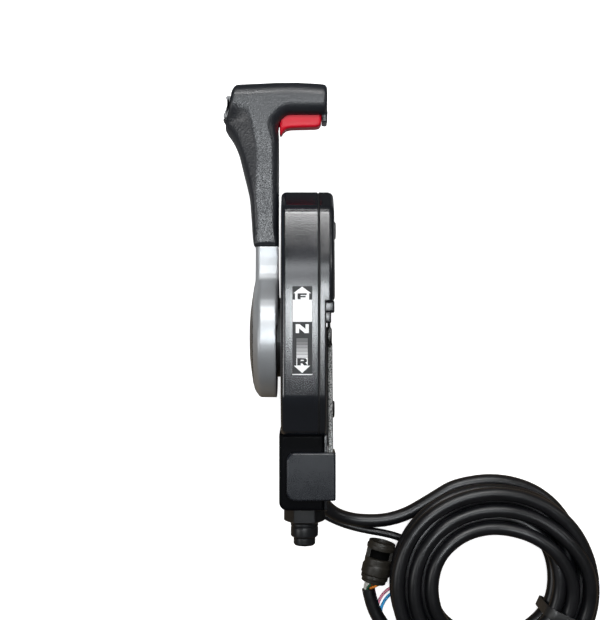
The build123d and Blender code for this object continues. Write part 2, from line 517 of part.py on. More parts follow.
body = on_con(-12.0, 19.7, 12.6) + on_con(12.5, 16.5, 13.6) + on_con(-11.0, -2.0, 13.6) + on_con(5.0, 7.5, 13.3)
body -= on_con(8.0, 20.0, 11.0)
body += on_con(7.9, 17.0, 8.6)
put("connector_body", body, False)
collar = on_con(-19.0, -12.0, 11.6) + on_con(-15.5, -12.0, 12.8)
put("connector_collar", collar, False)
wires = []
endp = Vector(64.4 + SHIFT_X, -262.5 + TABLE_Y, 6.3)
for (a, b, r) in [(-2.6, 2.2, 1.1), (2.4, 2.4, 1.1), (0.0, -1.2, 1.1), (-3.4, -1.9, 1.1), (3.2, -2.2, 1.1)]:
    p0 = endp + Vector(a, 0, b)
    p1 = Vector(CON_C[0], CON_C[1], CON_C[2]) - con_dir * 19.0 + Vector(a * 1.9, 0, b * 1.6)
    w = Solid.make_cylinder(r, (p1 - p0).length + 1.0, Plane(origin=p0 - (p1 - p0).normalized(), z_dir=(p1 - p0).normalized()))
    wires.append(one(w - collar - tail))
put("connector_wires", Compound(children=wires), False)

# ---------------------------------------------------------------------------
hard = [n for n in NODES if n not in ("harness_run", "harness_tail", "harness_coil", "lead_run", "pink_wire", "blue_wire", "connector_body", "connector_collar", "connector_wires", "cord_tie")]
bb = [NODES[n].bounding_box() for n in hard]
lo = [min(getattr(b.min, k) for b in bb) for k in "XYZ"]
hi = [max(getattr(b.max, k) for b in bb) for k in "XYZ"]
print("object without cords", [round(v, 2) for v in lo], [round(v, 2) for v in hi])
print("box centre offset x %.3f y %.3f" % ((lo[0] + hi[0]) / 2, (lo[1] + hi[1]) / 2))
print(len(NODES), "nodes")
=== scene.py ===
import bpy
import bmesh
import math
import numpy as np
from mathutils import Vector, Matrix


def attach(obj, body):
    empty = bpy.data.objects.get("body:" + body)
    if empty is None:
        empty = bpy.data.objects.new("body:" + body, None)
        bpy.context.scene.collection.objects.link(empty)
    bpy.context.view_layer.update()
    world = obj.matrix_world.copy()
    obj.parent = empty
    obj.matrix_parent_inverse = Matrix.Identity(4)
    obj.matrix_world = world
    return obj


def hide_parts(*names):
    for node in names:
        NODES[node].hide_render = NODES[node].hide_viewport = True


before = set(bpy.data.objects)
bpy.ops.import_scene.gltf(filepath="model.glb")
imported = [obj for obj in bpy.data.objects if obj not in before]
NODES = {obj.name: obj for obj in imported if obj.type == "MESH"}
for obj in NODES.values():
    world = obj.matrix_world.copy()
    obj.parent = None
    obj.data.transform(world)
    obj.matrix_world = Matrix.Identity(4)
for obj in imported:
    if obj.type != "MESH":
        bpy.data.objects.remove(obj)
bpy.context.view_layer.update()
SCENE = bpy.context.scene

# the part's own measures: x across the box, u forward of the shaft, w above it, in mm
SX, SU, SW = 18.44, -21.2, 72.0


def P(x, u, w):
    return Vector(((x + SX) / 1000, (u + SU) / 1000, (w + SW) / 1000))


def T(x, y, z):
    """A point of a cord's route on the table, in mm."""
    return Vector(((x + SX) / 1000, (y + SU + 24.0) / 1000, z / 1000))


# ---------------------------------------------------------------------------
# Camera: straight above, forward up
# ---------------------------------------------------------------------------
cam_data = bpy.data.cameras.new("camera")
cam = bpy.data.objects.new("camera", cam_data)
SCENE.collection.objects.link(cam)
cam.location = (0.01844, 0.0028, 0.972)
cam.rotation_euler = (0, 0, 0)
cam_data.lens = 59.38
cam_data.sensor_width = 36.0
cam_data.sensor_fit = "AUTO"
cam_data.clip_start = 0.01
cam_data.clip_end = 20
SCENE.camera = cam


# ---------------------------------------------------------------------------
# Materials
# ---------------------------------------------------------------------------
class Nodes:
    """A small helper round one material's node tree."""

    def __init__(self, name):
        self.mat = bpy.data.materials.new(name)
        self.mat.use_nodes = True
        self.nt = self.mat.node_tree
        self.bsdf = self.nt.nodes["Principled BSDF"]
        self.coord = self.new("ShaderNodeTexCoord").outputs["Object"]

    def new(self, kind, **props):
        n = self.nt.nodes.new(kind)
        for k, v in props.items():
            setattr(n, k, v)
        return n

    def link(self, a, b):
        self.nt.links.new(a, b)

    def mapped(self, scale=(1, 1, 1), rot=(0, 0, 0)):
        m = self.new("ShaderNodeMapping")
        m.inputs["Scale"].default_value = scale
        m.inputs["Rotation"].default_value = rot
        self.link(self.coord, m.inputs["Vector"])
        return m.outputs["Vector"]

    def noise(self, scale, detail=2.0, rough=0.5, vec=None, distort=0.0):
        n = self.new("ShaderNodeTexNoise")
        n.inputs["Scale"].default_value = scale
        n.inputs["Detail"].default_value = detail
        n.inputs["Roughness"].default_value = rough
        n.inputs["Distortion"].default_value = distort
        self.link(vec or self.coord, n.inputs["Vector"])
        return n.outputs["Fac"]

    def voronoi(self, scale, feature="F1", vec=None):
        n = self.new("ShaderNodeTexVoronoi", feature=feature)
        n.inputs["Scale"].default_value = scale
        self.link(vec or self.coord, n.inputs["Vector"])
        return n.outputs["Distance"]

    def ramp(self, fac, stops):
        r = self.new("ShaderNodeValToRGB")
        els = r.color_ramp.elements
        while len(els) < len(stops):
            els.new(0.5)
        for e, (pos, col) in zip(els, stops):
            e.position = pos
            e.color = (*col, 1) if hasattr(col, "__len__") else (col, col, col, 1)
        self.link(fac, r.inputs["Fac"])
        return r.outputs["Color"]

    def span(self, fac, lo, hi, a=0.0, b=1.0):
        m = self.new("ShaderNodeMapRange")
        m.inputs["From Min"].default_value = lo
        m.inputs["From Max"].default_value = hi
        m.inputs["To Min"].default_value = a
        m.inputs["To Max"].default_value = b
        self.link(fac, m.inputs["Value"])
        return m.outputs["Result"]

    def math(self, op, a, b=None):
        m = self.new("ShaderNodeMath", operation=op)
        for i, v in enumerate((a, b)):
            if v is None:
                continue
            if isinstance(v, (int, float)):
                m.inputs[i].default_value = v
            else:
                self.link(v, m.inputs[i])
        return m.outputs["Value"]

    def mix(self, fac, a, b):
        m = self.new("ShaderNodeMix", data_type="RGBA")
        for sock, v in ((m.inputs["Factor"], fac), (m.inputs[6], a), (m.inputs[7], b)):
            if isinstance(v, (int, float)):
                sock.default_value = v
            elif hasattr(v, "__len__"):
                sock.default_value = (*v, 1)
            else:
                self.link(v, sock)
        return m.outputs[2]

    def bump(self, height, dist, strength=1.0, under=None):
        b = self.new("ShaderNodeBump")
        b.inputs["Strength"].default_value = strength
        b.inputs["Distance"].default_value = dist
        self.link(height, b.inputs["Height"])
        if under is not None:
            self.link(under, b.inputs["Normal"])
        return b.outputs["Normal"]

    def done(self, color=None, rough=None, normal=None, **const):
        i = self.bsdf.inputs
        for sock, v in (("Base Color", color), ("Roughness", rough), ("Normal", normal)):
            if v is None:
                continue
            if isinstance(v, (int, float)):
                i[sock].default_value = v
            elif hasattr(v, "__len__"):
                i[sock].default_value = (*v, 1)
            else:
                self.link(v, i[sock])
        for k, v in const.items():
            i[k.replace("_", " ")].default_value = v
        return self.mat


def plastic(name, base, rough, grain=0.9, depth=0.00008, vary=0.15, spec=0.5, lift=1.35, coat=0.0):
    """Moulded plastic: fine grain, dull patches and a slow drift of tone."""
    n = Nodes(name)
    slow = n.noise(28, 3, 0.6)
    fine = n.noise(1000 / grain, 2, 0.6)
    col = n.mix(n.span(slow, 0.3, 0.7), base, tuple(c * lift for c in base))
    ro = n.math("ADD", n.span(slow, 0.3, 0.7, rough - vary * 0.4, rough + vary * 0.4), n.span(fine, 0.3, 0.7, -vary * 0.25, vary * 0.25))
    nor = n.bump(fine, depth)
    return n.done(col, ro, nor, Specular_IOR_Level=spec, Coat_Weight=coat, Coat_Roughness=0.2)


def pebbled(name, base, rough, cell=1.35, depth=0.00022, spec=0.5):
    """Moulded pebble grain, worn smoother in patches."""
    n = Nodes(name)
    vec = n.mapped()
    warp = n.noise(420, 1, 0.5)
    cells = n.voronoi(1000 / cell, "SMOOTH_F1")
    height = n.math("ADD", n.math("MULTIPLY", cells, -1.0), n.math("MULTIPLY", warp, 0.5))
    slow = n.noise(24, 3, 0.55)
    fine = n.noise(2600, 1, 0.5)
    # pebble tops painted lighter and the hollows between them darker: painted light and shade on the grain
    col = n.mix(n.span(cells, 0.05, 0.6), tuple(c * 1.25 for c in base), tuple(c * 0.8 for c in base))
    col = n.mix(n.span(slow, 0.35, 0.7, 0.0, 0.5), col, tuple(c * 1.5 for c in base))
    ro = n.math("ADD", n.span(cells, 0.0, 0.6, rough - 0.05, rough + 0.1), n.span(slow, 0.3, 0.7, -0.04, 0.05))
    nor = n.bump(height, depth, 1.0, n.bump(fine, 0.00002))
    return n.done(col, ro, nor, Specular_IOR_Level=spec)


def metal(name, base, rough, brushed=None, grain=0.5, depth=0.00002, metallic=1.0, vary=0.12, spots=None):
    """Metal or metallic paint: fine grain, brushed lines if asked, faint dull patches."""
    n = Nodes(name)
    slow = n.noise(35, 3, 0.6)
    vec = n.mapped(brushed) if brushed else None
    fine = n.noise(1000 / grain, 3, 0.65, vec)
    col = n.mix(n.span(slow, 0.3, 0.7), base, tuple(min(1, c * 1.12) for c in base))
    col = n.mix(n.span(fine, 0.35, 0.7, 0.0, 0.35), col, tuple(c * 0.72 for c in base))
    if spots:
        s = n.noise(1000 / spots[0], 2, 0.7)
        col = n.mix(n.span(s, spots[1], spots[1] + 0.08), col, spots[2])
    ro = n.math("ADD", n.span(slow, 0.3, 0.7, rough - vary * 0.4, rough + vary * 0.4), n.span(fine, 0.3, 0.7, -vary * 0.3, vary * 0.3))
    return n.done(col, ro, n.bump(fine, depth), Metallic=metallic)


def rubber(name, base, rough, line=None):
    """Soft PVC or rubber: dusty patches and a faint mottle in roughness and surface."""
    n = Nodes(name)
    slow = n.noise(55, 4, 0.6)
    fine = n.noise(1600, 2, 0.6)
    rub = n.noise(240, 3, 0.65)
    col = n.mix(n.span(slow, 0.35, 0.7), base, tuple(c * 1.45 + 0.001 for c in base))
    ro = n.math("ADD", n.span(rub, 0.3, 0.7, rough - 0.025, rough + 0.03), n.span(slow, 0.3, 0.7, -0.02, 0.03))
    nor = n.bump(rub, 0.000002)
    return n.done(col, ro, nor)


M = {
    "shell": plastic("shell_semi_gloss", (0.0060, 0.0072, 0.0100), 0.18, grain=1.2, depth=0.000055, vary=0.05, spec=0.75),
    # near-black with almost no sheen, darker than the shells: painted shade for the switch block under the handle
    "block": plastic("block_painted_shade", (0.0024, 0.0026, 0.0032), 0.36, grain=0.8, depth=0.00002, vary=0.12, spec=0.03),
    "cover": plastic("cover_satin", (0.0055, 0.0064, 0.0085), 0.21, grain=1.4, depth=0.00003, vary=0.06, spec=0.75),
    "plate": plastic("plate_satin", (0.0050, 0.0066, 0.0100), 0.27, grain=0.9, depth=0.000008, vary=0.12),
    "seal": rubber("seal_rubber_dull", (0.004, 0.004, 0.004), 0.7),
    "zinc": metal("zinc_plate", (0.20, 0.20, 0.197), 0.36, grain=1.2, depth=0.00004, spots=(1.15, 0.455, (0.035, 0.035, 0.034))),
    "screw": metal("screw_zinc", (0.55, 0.54, 0.51), 0.36, grain=0.6, depth=0.00003),
    "steel": metal("machined_steel", (0.52, 0.52, 0.53), 0.3, brushed=(0.2, 1.0, 1.0), grain=0.4),
    "disc": plastic("disc_satin", (0.018, 0.018, 0.019), 0.42, grain=0.8, depth=0.00005),
    "bronze": metal("sintered_bronze", (0.46, 0.30, 0.13), 0.5, grain=0.35, depth=0.00006),
    "silver": metal("silver_paint", (0.43, 0.445, 0.46), 0.40, grain=0.45, depth=0.000006, metallic=0.6, vary=0.05),
    "cap": plastic("cap_semi_gloss", (0.004, 0.004, 0.0045), 0.28, grain=1.0, depth=0.00004, vary=0.1),
    "grip": pebbled("grip_pebbled", (0.0085, 0.010, 0.0135), 0.30, cell=1.6, depth=0.00016, spec=0.7),
    "red": plastic("trigger_red_gloss", (0.62, 0.006, 0.022), 0.36, grain=1.5, depth=0.00002, vary=0.06, lift=1.08, spec=0.25),
    # the rocker is dark plastic; its grey is lightened to stand for the highlight along its top, a painted highlight
    "rocker": plastic("rocker_grey", (0.21, 0.215, 0.22), 0.30, grain=0.8, depth=0.00004, vary=0.1, lift=1.1),
    "rocker_dark": plastic("rocker_black", (0.003, 0.003, 0.0035), 0.36, grain=0.8, depth=0.00002, vary=0.1),
    "acetal": plastic("gear_acetal", (0.62, 0.60, 0.52), 0.4, grain=0.8, depth=0.00003, lift=1.06),
    "cord": rubber("cord_pvc_black", (0.0030, 0.0031, 0.0040), 0.33),
    "boot": rubber("boot_rubber", (0.008, 0.008, 0.008), 0.5),
    "pink": rubber("wire_pink", (0.86, 0.30, 0.42), 0.4),
    "blue": rubber("wire_blue", (0.03, 0.36, 0.75), 0.4),
    "w_white": rubber("wire_white", (0.70, 0.70, 0.66), 0.4),
    "w_green": rubber("wire_green", (0.02, 0.10, 0.05), 0.4),
    "w_red": rubber("wire_red", (0.45, 0.02, 0.02), 0.4),
    "w_orange": rubber("wire_orange", (0.85, 0.25, 0.03), 0.4),
    "w_yellow": rubber("wire_yellow", (0.75, 0.55, 0.03), 0.4),
    "connector": plastic("connector_matte", (0.015, 0.013, 0.010), 0.40, grain=0.9, depth=0.00003, spec=0.4, vary=0.14),
    "tie": plastic("tie_nylon", (0.014, 0.014, 0.014), 0.42, grain=0.6, depth=0.00003),
    "electric": plastic("switch_phenolic", (0.05, 0.05, 0.055), 0.5, grain=0.9, depth=0.00006),
    "key": plastic("key_satin", (0.0055, 0.006, 0.007), 0.33, grain=0.9, depth=0.00002, vary=0.1, spec=0.45),
    # near-black with almost no sheen: painted shade for the connector's recessed window
    "gap": plastic("window_painted_shade", (0.0015, 0.0015, 0.0015), 0.7, grain=0.9, depth=0.00002, spec=0.03),
    "strip_dark": plastic("strip_dark_grey", (0.0045, 0.0048, 0.0055), 0.5, grain=0.7, depth=0.00002, vary=0.1),
    "strip_white": plastic("strip_white", (0.93, 0.93, 0.93), 0.42, grain=0.7, depth=0.00002, vary=0.1, lift=1.04),
}


def dress(node, key):
    """A CAD node keeps its shape and takes a finish."""
    o = NODES[node]
    o.data.materials.clear()
    o.data.materials.append(M[key])


# ---------------------------------------------------------------------------
# Cords: one smooth spline each, its points the route's points
# ---------------------------------------------------------------------------
def spline(name, pts, d, key, body="root", res=10):
    cu = bpy.data.curves.new(name, "CURVE")
    cu.dimensions = "3D"
    s = cu.splines.new("NURBS")
    s.points.add(len(pts) - 1)
    for p, q in zip(s.points, pts):
        p.co = (*q, 1.0)
    s.order_u = 3
    s.use_endpoint_u = True
    s.resolution_u = res
    cu.bevel_depth = d / 2
    cu.bevel_resolution = 6
    cu.use_fill_caps = True
    cu.materials.append(M[key])
    o = bpy.data.objects.new(name, cu)
    SCENE.collection.objects.link(o)
    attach(o, body)
    return o


MAIN_ROUTE = [(6, -153, 44), (6, -153, 34), (8.6, -158.0, 25.5), (14.0, -168.5, 18.5), (21.5, -181.0, 14.0), (31, -190.8, 10.6), (43, -196.2, 7.6), (58, -199.0, 6.5), (80, -198.8, 6.3),
              (100, -193.0, 6.3), (115, -184.5, 6.4), (128, -176.5, 6.6)]
TAIL_ROUTE = [(172, -343.5, 6.6), (147, -341.5, 6.5), (122.5, -334.5, 6.3), (101, -322.5, 6.3), (85.5, -306.5, 6.3), (73.5, -290.5, 6.3), (67.4, -276.8, 6.3), (64.4, -262.5, 6.3)]
LEAD_ROUTE = [(-8, -161, 44), (-8, -161, 34), (-5.6, -164.8, 22), (1, -174.8, 11.5), (12.5, -187.5, 5), (28.0, -197.2, 3.6), (44, -203.8, 3.5), (62, -208.2, 3.5), (80, -211.2, 3.5),
              (94, -214.9, 3.5), (104.7, -220.6, 3.5), (111.4, -230.0, 3.5), (113.0, -241.4, 3.5), (109.4, -252.3, 3.5), (101.2, -260.3, 3.5)]
PINK_ROUTE = [(101.2, -257.4, 2.9), (93.5, -260.6, 1.8), (85.3, -263.5, 1.6), (78.0, -269.8, 1.6), (74.0, -277.8, 1.6), (72.4, -286.5, 2.6), (72.8, -294.0, 4.0)]
BLUE_ROUTE = [(102.4, -260.2, 2.9), (94.0, -264.6, 1.8), (85.4, -269.4, 1.6), (79.8, -275.8, 1.6), (76.6, -283.3, 1.6), (76.4, -291.2, 2.6), (78.0, -297.5, 4.0)]


def step(a, b, t):
    """A smooth 0 to 1 between a and b."""
    q = min(1.0, max(0.0, (t - a) / (b - a)))
    return q * q * (3 - 2 * q)


def bell(a, b, c, d, t):
    return step(a, b, t) * (1 - step(c, d, t))


COIL_C = (179.6, -253.2)
A0 = 123.9                                  # where the run joins the coil, degrees
SLOTS = [(79.5, 6.4, 0), (64.5, 6.4, 0), (57.0, 16.6, 1), (72.0, 16.6, 1), (87.0, 16.6, 1), (79.5, 26.7, 2), (64.5, 26.7, 2), (57.0, 36.8, 3), (72.0, 36.8, 3), (87.0, 36.8, 3)]
HUMP = (7.4, 7.4, 6.2, 5.2)                 # how far each layer rises over the lead below it
ZONE = 63.9                                 # the turns change place from here, over 70 degrees


def coil_point(t):
    """The coil's line after t degrees of travel, clockwise from above."""
    a = A0 - t
    k = (t - ZONE) / 360.0
    i = int(math.floor(k))
    f = step(0, 70 / 360.0, k - i)
    before = (92.0, 6.5, 0) if i <= 0 else SLOTS[i - 1]
    now = SLOTS[min(max(i, 0), len(SLOTS) - 1)]
    if i < 0:
        r, z, lay = 92.0, 6.5, 0.0
    elif i >= len(SLOTS):
        r, z, lay = SLOTS[-1]
    else:
        r = before[0] + (now[0] - before[0]) * f
        z = before[1] + (now[1] - before[1]) * f
        lay = before[2] + (now[2] - before[2]) * f
    m = a % 360.0
    out = t - (ZONE + 360.0 * len(SLOTS))   # travel since the last turn ended
    inside = 0 <= i < len(SLOTS)
    if inside or out < 0:
        # room for the strands that come in and go out at the foot of the coil
        r -= 5.2 * bell(215, 245, 300, 345, m) * step(0, 60, t - ZONE)
        r -= 2.6 * bell(55, 75, 118, 150, m) * step(0, 60, t - ZONE)
        r += 2.8 * bell(100, 140, 230, 260, m) * step(0, 60, t - ZONE)
        # loose turns differ a little
        r += (0.9 * math.sin(math.radians(a + 77 * i)) + 0.5 * math.sin(math.radians(2 * a + 131 * i))) * step(0, 90, t - ZONE)
        r = min(r, max(90.7, before[0]))
    z += 1.7 * lay * bell(-12, 8, 45, 62, m if m < 180 else m - 360)
    h = HUMP[min(3, int(round(lay)))]
    z += h * bell(108, 140, 196, 232, m) * (0.0 if t < ZONE else 1.0)
    if out >= 0:
        # down the outside of the coil to the floor
        r = SLOTS[-1][0] + 8.2 * bell(50, 100, 105, 152, out) + 3.4 * step(90, 150, out)
        z = SLOTS[-1][1] + 5.1 * (1 - step(0, 30, out)) * bell(-12, 8, 45, 62, m if m < 180 else m - 360)
        z += (6.6 - z) * step(48, 140, out)
    r /= 0.9751
    q = math.radians(a)
    return (COIL_C[0] + r * math.cos(q), COIL_C[1] + r * math.sin(q), z)


COIL_END = 218.7 + 3600.0
count = int(round(COIL_END / 25.2))
coil = [coil_point(COIL_END * (j + 0.55) / count) for j in range(count - 1)]
harness = spline("harness", [T(*p) for p in MAIN_ROUTE + coil + TAIL_ROUTE], 0.0125, "cord", res=8)
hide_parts("harness_run", "harness_coil", "harness_tail")
lead = spline("buzzer_lead", [T(*p) for p in LEAD_ROUTE], 0.007, "cord")
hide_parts("lead_run")
pink = spline("pink_branch_wire", [T(*p) for p in PINK_ROUTE], 0.003, "pink")
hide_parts("pink_wire")
blue = spline("blue_branch_wire", [T(*p) for p in BLUE_ROUTE], 0.003, "blue")
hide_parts("blue_wire")

# ---------------------------------------------------------------------------
# Mesh building
# ---------------------------------------------------------------------------
def finish_mesh(name, me, key, body, node=(), angle=38):
    me.shade_smooth()
    me.set_sharp_from_angle(angle=math.radians(angle))
    keys = [key] if isinstance(key, str) else list(key)
    me.materials.clear()
    for k in keys:
        me.materials.append(M[k])
    o = bpy.data.objects.new(name, me)
    SCENE.collection.objects.link(o)
    if body:
        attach(o, body)
    if node:
        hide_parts(*([node] if isinstance(node, str) else node))
    return o


def from_arrays(name, verts, faces):
    me = bpy.data.meshes.new(name)
    me.from_pydata([tuple(v) for v in verts], [], [tuple(f) for f in faces])
    me.validate()
    bm = bmesh.new()
    bm.from_mesh(me)
    bmesh.ops.recalc_face_normals(bm, faces=bm.faces)
    bm.to_mesh(me)
    bm.free()
    return me


def rounded(pts, radii, deg=7.0, counts=None, tell=None):
    """Closed outline with its corners rounded, counter-clockwise or clockwise as given."""
    out = []
    n = len(pts)
    for i in range(n):
        a, v, b = Vector(pts[i - 1]), Vector(pts[i]), Vector(pts[(i + 1) % n])
        r = radii[i] if hasattr(radii, "__len__") else radii
        da, db = (a - v).normalized(), (b - v).normalized()
        phi = da.angle(db)
        if r < 1e-4 or abs(phi - math.pi) < 1e-3:
            out.append(tuple(v))
            if tell is not None:
                tell.append(0)
            continue
        t = min(r / math.tan(phi / 2), 0.49 * (a - v).length, 0.49 * (b - v).length)
        r = t * math.tan(phi / 2)
        c = v + (da + db).normalized() * (r / math.sin(phi / 2))
        p0, p1 = v + da * t - c, v + db * t - c
        turn = math.atan2(p0.x * p1.y - p0.y * p1.x, p0.dot(p1))
        m = counts[i] if counts else max(2, int(abs(math.degrees(turn)) / deg + 0.013) + 1)
        if tell is not None:
            tell.append(m)
        for k in range(m + 1):
            q = turn * k / m
            out.append((c.x + p0.x * math.cos(q) - p0.y * math.sin(q), c.y + p0.x * math.sin(q) + p0.y * math.cos(q)))
    return out


def inward(outline):
    """Unit normals into a closed outline, at its points."""
    p = np.array(outline, float)
    area = 0.5 * np.sum(p[:, 0] * np.roll(p[:, 1], -1) - np.roll(p[:, 0], -1) * p[:, 1])
    e = np.roll(p, -1, 0) - p
    e /= np.maximum(np.linalg.norm(e, axis=1, keepdims=True), 1e-9)
    left = np.stack([-e[:, 1], e[:, 0]], 1) * (1 if area > 0 else -1)
    n = left + np.roll(left, 1, 0)
    n /= np.maximum(np.linalg.norm(n, axis=1, keepdims=True), 1e-9)
    cosine = np.sum(n * left, axis=1)
    return p, n / np.maximum(cosine[:, None], 0.35)


def arc_profile(t0, t1, r0, r1, seg=5):
    """(depth, inset) from one face to the other with rounded edges of radius r0 and r1, and a flat margin on each face."""
    out = []
    sgn = 1 if t1 > t0 else -1
    out.append((t0, r0 + 1.2))
    for k in range(seg + 1):
        q = math.pi / 2 * k / seg
        out.append((t0 + sgn * r0 * (1 - math.cos(q)), r0 * (1 - math.sin(q))))
    for k in range(seg + 1):
        q = math.pi / 2 * k / seg
        out.append((t1 - sgn * r1 * (1 - math.sin(q)), r1 * (1 - math.cos(q))))
    out.append((t1, r1 + 1.2))
    return out


class Outline:
    """A polygon with rounded corners that can be moved inward by any inset."""

    def __init__(self, pts, radii, deg=7.0):
        self.p, self.deg = np.array(pts, float), deg
        self.r = [radii] * len(pts) if not hasattr(radii, "__len__") else list(radii)
        p = self.p
        area = 0.5 * np.sum(p[:, 0] * np.roll(p[:, 1], -1) - np.roll(p[:, 0], -1) * p[:, 1])
        e = np.roll(p, -1, 0) - p
        e /= np.linalg.norm(e, axis=1, keepdims=True)
        self.left = np.stack([-e[:, 1], e[:, 0]], 1) * (1 if area > 0 else -1)
        before = np.roll(self.left, 1, 0)
        eb = np.roll(e, 1, 0)
        self.convex = (eb[:, 0] * e[:, 1] - eb[:, 1] * e[:, 0]) * (1 if area > 0 else -1) > 0
        n = self.left + before
        n /= np.linalg.norm(n, axis=1, keepdims=True)
        self.n = n / np.maximum(np.sum(n * self.left, axis=1)[:, None], 0.2)
        self.counts = []
        rounded(pts, [max(0.03, r) for r in self.r], deg, tell=self.counts)

    def at(self, inset):
        q = self.p + self.n * inset
        radii = [max(0.03, r - inset if c else r + inset) for r, c in zip(self.r, self.convex)]
        return rounded([tuple(v) for v in q], radii, self.deg, self.counts)


def rings(name, outline, profile, place):
    """A closed body: the outline, moved in by each profile step's inset, at its depth."""
    verts, faces = [], []
    if isinstance(outline, Outline):
        rows = [outline.at(inset) for _, inset in profile]
        m = len(rows[0])
        if any(len(r) != m for r in rows):
            raise ValueError("outline changes its count: " + name)
    else:
        p, n = inward(outline)
        m = len(p)
        rows = [p + n * inset for _, inset in profile]
    for (depth, _), row in zip(profile, rows):
        verts += [place(a, b, depth) for a, b in row]
    for k in range(len(profile) - 1):
        for i in range(m):
            j = (i + 1) % m
            faces.append((k * m + i, k * m + j, (k + 1) * m + j, (k + 1) * m + i))
    faces.append(tuple(range(m))[::-1])
    faces.append(tuple(range((len(profile) - 1) * m, len(profile) * m)))
    return from_arrays(name, verts, faces)


def lathe(name, profile, place, n=72):
    """A body turned from (along, radius) pairs. A radius of 0 closes it."""
    verts, faces, rows = [], [], []
    for a, r in profile:
        if r < 1e-6:
            rows.append([len(verts)])
            verts.append(place(a, 0, 0))
        else:
            rows.append(list(range(len(verts), len(verts) + n)))
            verts += [place(a, r * math.cos(2 * math.pi * i / n), r * math.sin(2 * math.pi * i / n)) for i in range(n)]
    for ra, rb in zip(rows, rows[1:]):
        for i in range(n):
            j = (i + 1) % n
            if len(ra) == 1 and len(rb) == 1:
                continue
            if len(ra) == 1:
                faces.append((ra[0], rb[j], rb[i]))
            elif len(rb) == 1:
                faces.append((ra[i], ra[j], rb[0]))
            else:
                faces.append((ra[i], ra[j], rb[j], rb[i]))
    return from_arrays(name, verts, faces)


def soft_profile(pts, r, deg=15):
    """Rounds the inner corners of an open (along, radius) profile."""
    out = [pts[0]]
    for a, v, b in zip(pts, pts[1:], pts[2:]):
        a, v, b = Vector(a), Vector(v), Vector(b)
        da, db = (a - v), (b - v)
        la, lb = da.length, db.length
        if la < 1e-6 or lb < 1e-6:
            continue
        da, db = da / la, db / lb
        phi = da.angle(db)
        if abs(phi - math.pi) < 0.05:
            out.append(tuple(v))
            continue
        t = min(r / math.tan(phi / 2), 0.45 * la, 0.45 * lb)
        rr = t * math.tan(phi / 2)
        c = v + (da + db).normalized() * (rr / math.sin(phi / 2))
        p0, p1 = v + da * t - c, v + db * t - c
        turn = math.atan2(p0.x * p1.y - p0.y * p1.x, p0.dot(p1))
        m = max(2, int(abs(math.degrees(turn)) / deg + 0.013) + 1)
        for k in range(m + 1):
            q = turn * k / m
            out.append((c.x + p0.x * math.cos(q) - p0.y * math.sin(q), c.y + p0.x * math.sin(q) + p0.y * math.cos(q)))
    out.append(pts[-1])
    return out


def block(name, x0, x1, u0, u1, w0, w1):
    c = [P(x, u, w) for x in (x0, x1) for u in (u0, u1) for w in (w0, w1)]
    f = [(0, 1, 3, 2), (4, 6, 7, 5), (0, 4, 5, 1), (2, 3, 7, 6), (0, 2, 6, 4), (1, 5, 7, 3)]
    return from_arrays(name, c, f)


def rod(name, a, b, r, n=32):
    """A plain cylinder between two points of the part, to cut or join with."""
    a, b = P(*a), P(*b)
    z = (b - a).normalized()
    x = z.orthogonal().normalized()
    y = z.cross(x)
    ring = [x * math.cos(2 * math.pi * i / n) * r / 1000 + y * math.sin(2 * math.pi * i / n) * r / 1000 for i in range(n)]
    verts = [a + q for q in ring] + [b + q for q in ring]
    faces = [(i, (i + 1) % n, n + (i + 1) % n, n + i) for i in range(n)] + [tuple(range(n))[::-1], tuple(range(n, 2 * n))]
    return from_arrays(name, verts, faces)


def joined(me, parts, op):
    """The mesh after a boolean with each of the parts."""
    o = bpy.data.objects.new("work", me)
    SCENE.collection.objects.link(o)
    tools = []
    for k, part in enumerate(parts):
        t = bpy.data.objects.new("tool", part)
        SCENE.collection.objects.link(t)
        tools.append(t)
        m = o.modifiers.new("b%d" % k, "BOOLEAN")
        m.operation = op
        m.solver = "EXACT"
        m.object = t
    dg = bpy.context.evaluated_depsgraph_get()
    out = bpy.data.meshes.new_from_object(o.evaluated_get(dg))
    for t in tools:
        bpy.data.objects.remove(t)
    bpy.data.objects.remove(o)
    return out


def edge_round(o, width, seg=3, angle=32):
    """Small rounded edges, as a bevel modifier with weighted normals on the object."""
    m = o.modifiers.new("edge", "BEVEL")
    m.width = width / 1000
    m.segments = seg
    m.limit_method = "ANGLE"
    m.angle_limit = math.radians(angle)
    m.use_clamp_overlap = True
    m.harden_normals = False
    w = o.modifiers.new("weights", "WEIGHTED_NORMAL")
    w.keep_sharp = True
    w.weight = 60
    return o


# --- bodies from a distance function -----------------------------------------
def poly_dist(pts, A, B):
    """Signed distance to a closed polygon, below 0 inside."""
    p = np.array(pts, float)
    d = np.full(A.shape, 1e18)
    inside = np.zeros(A.shape, bool)
    for (x0, y0), (x1, y1) in zip(p, np.roll(p, -1, 0)):
        ex, ey = x1 - x0, y1 - y0
        wx, wy = A - x0, B - y0
        t = np.clip((wx * ex + wy * ey) / max(ex * ex + ey * ey, 1e-12), 0, 1)
        d = np.minimum(d, (wx - ex * t) ** 2 + (wy - ey * t) ** 2)
        if y0 != y1:
            cross = ((y0 <= B) & (y1 > B)) | ((y1 <= B) & (y0 > B))
            inside ^= cross & (A < x0 + (B - y0) * ex / ey)
    d = np.sqrt(d)
    return np.where(inside, -d, d)


def both(a, b, r):
    """The overlap of two shapes with its edge rounded to r."""
    x, y = a + r, b + r
    return np.minimum(np.maximum(x, y), 0) + np.hypot(np.maximum(x, 0), np.maximum(y, 0)) - r


def either(a, b, k):
    """The union of two shapes, blended over k."""
    h = np.maximum(k - np.abs(a - b), 0) / k
    return np.minimum(a, b) - h * h * k * 0.25


def less(a, b, k=0.5):
    """The first shape without the second, blended over k."""
    return -either(-a, b, k)


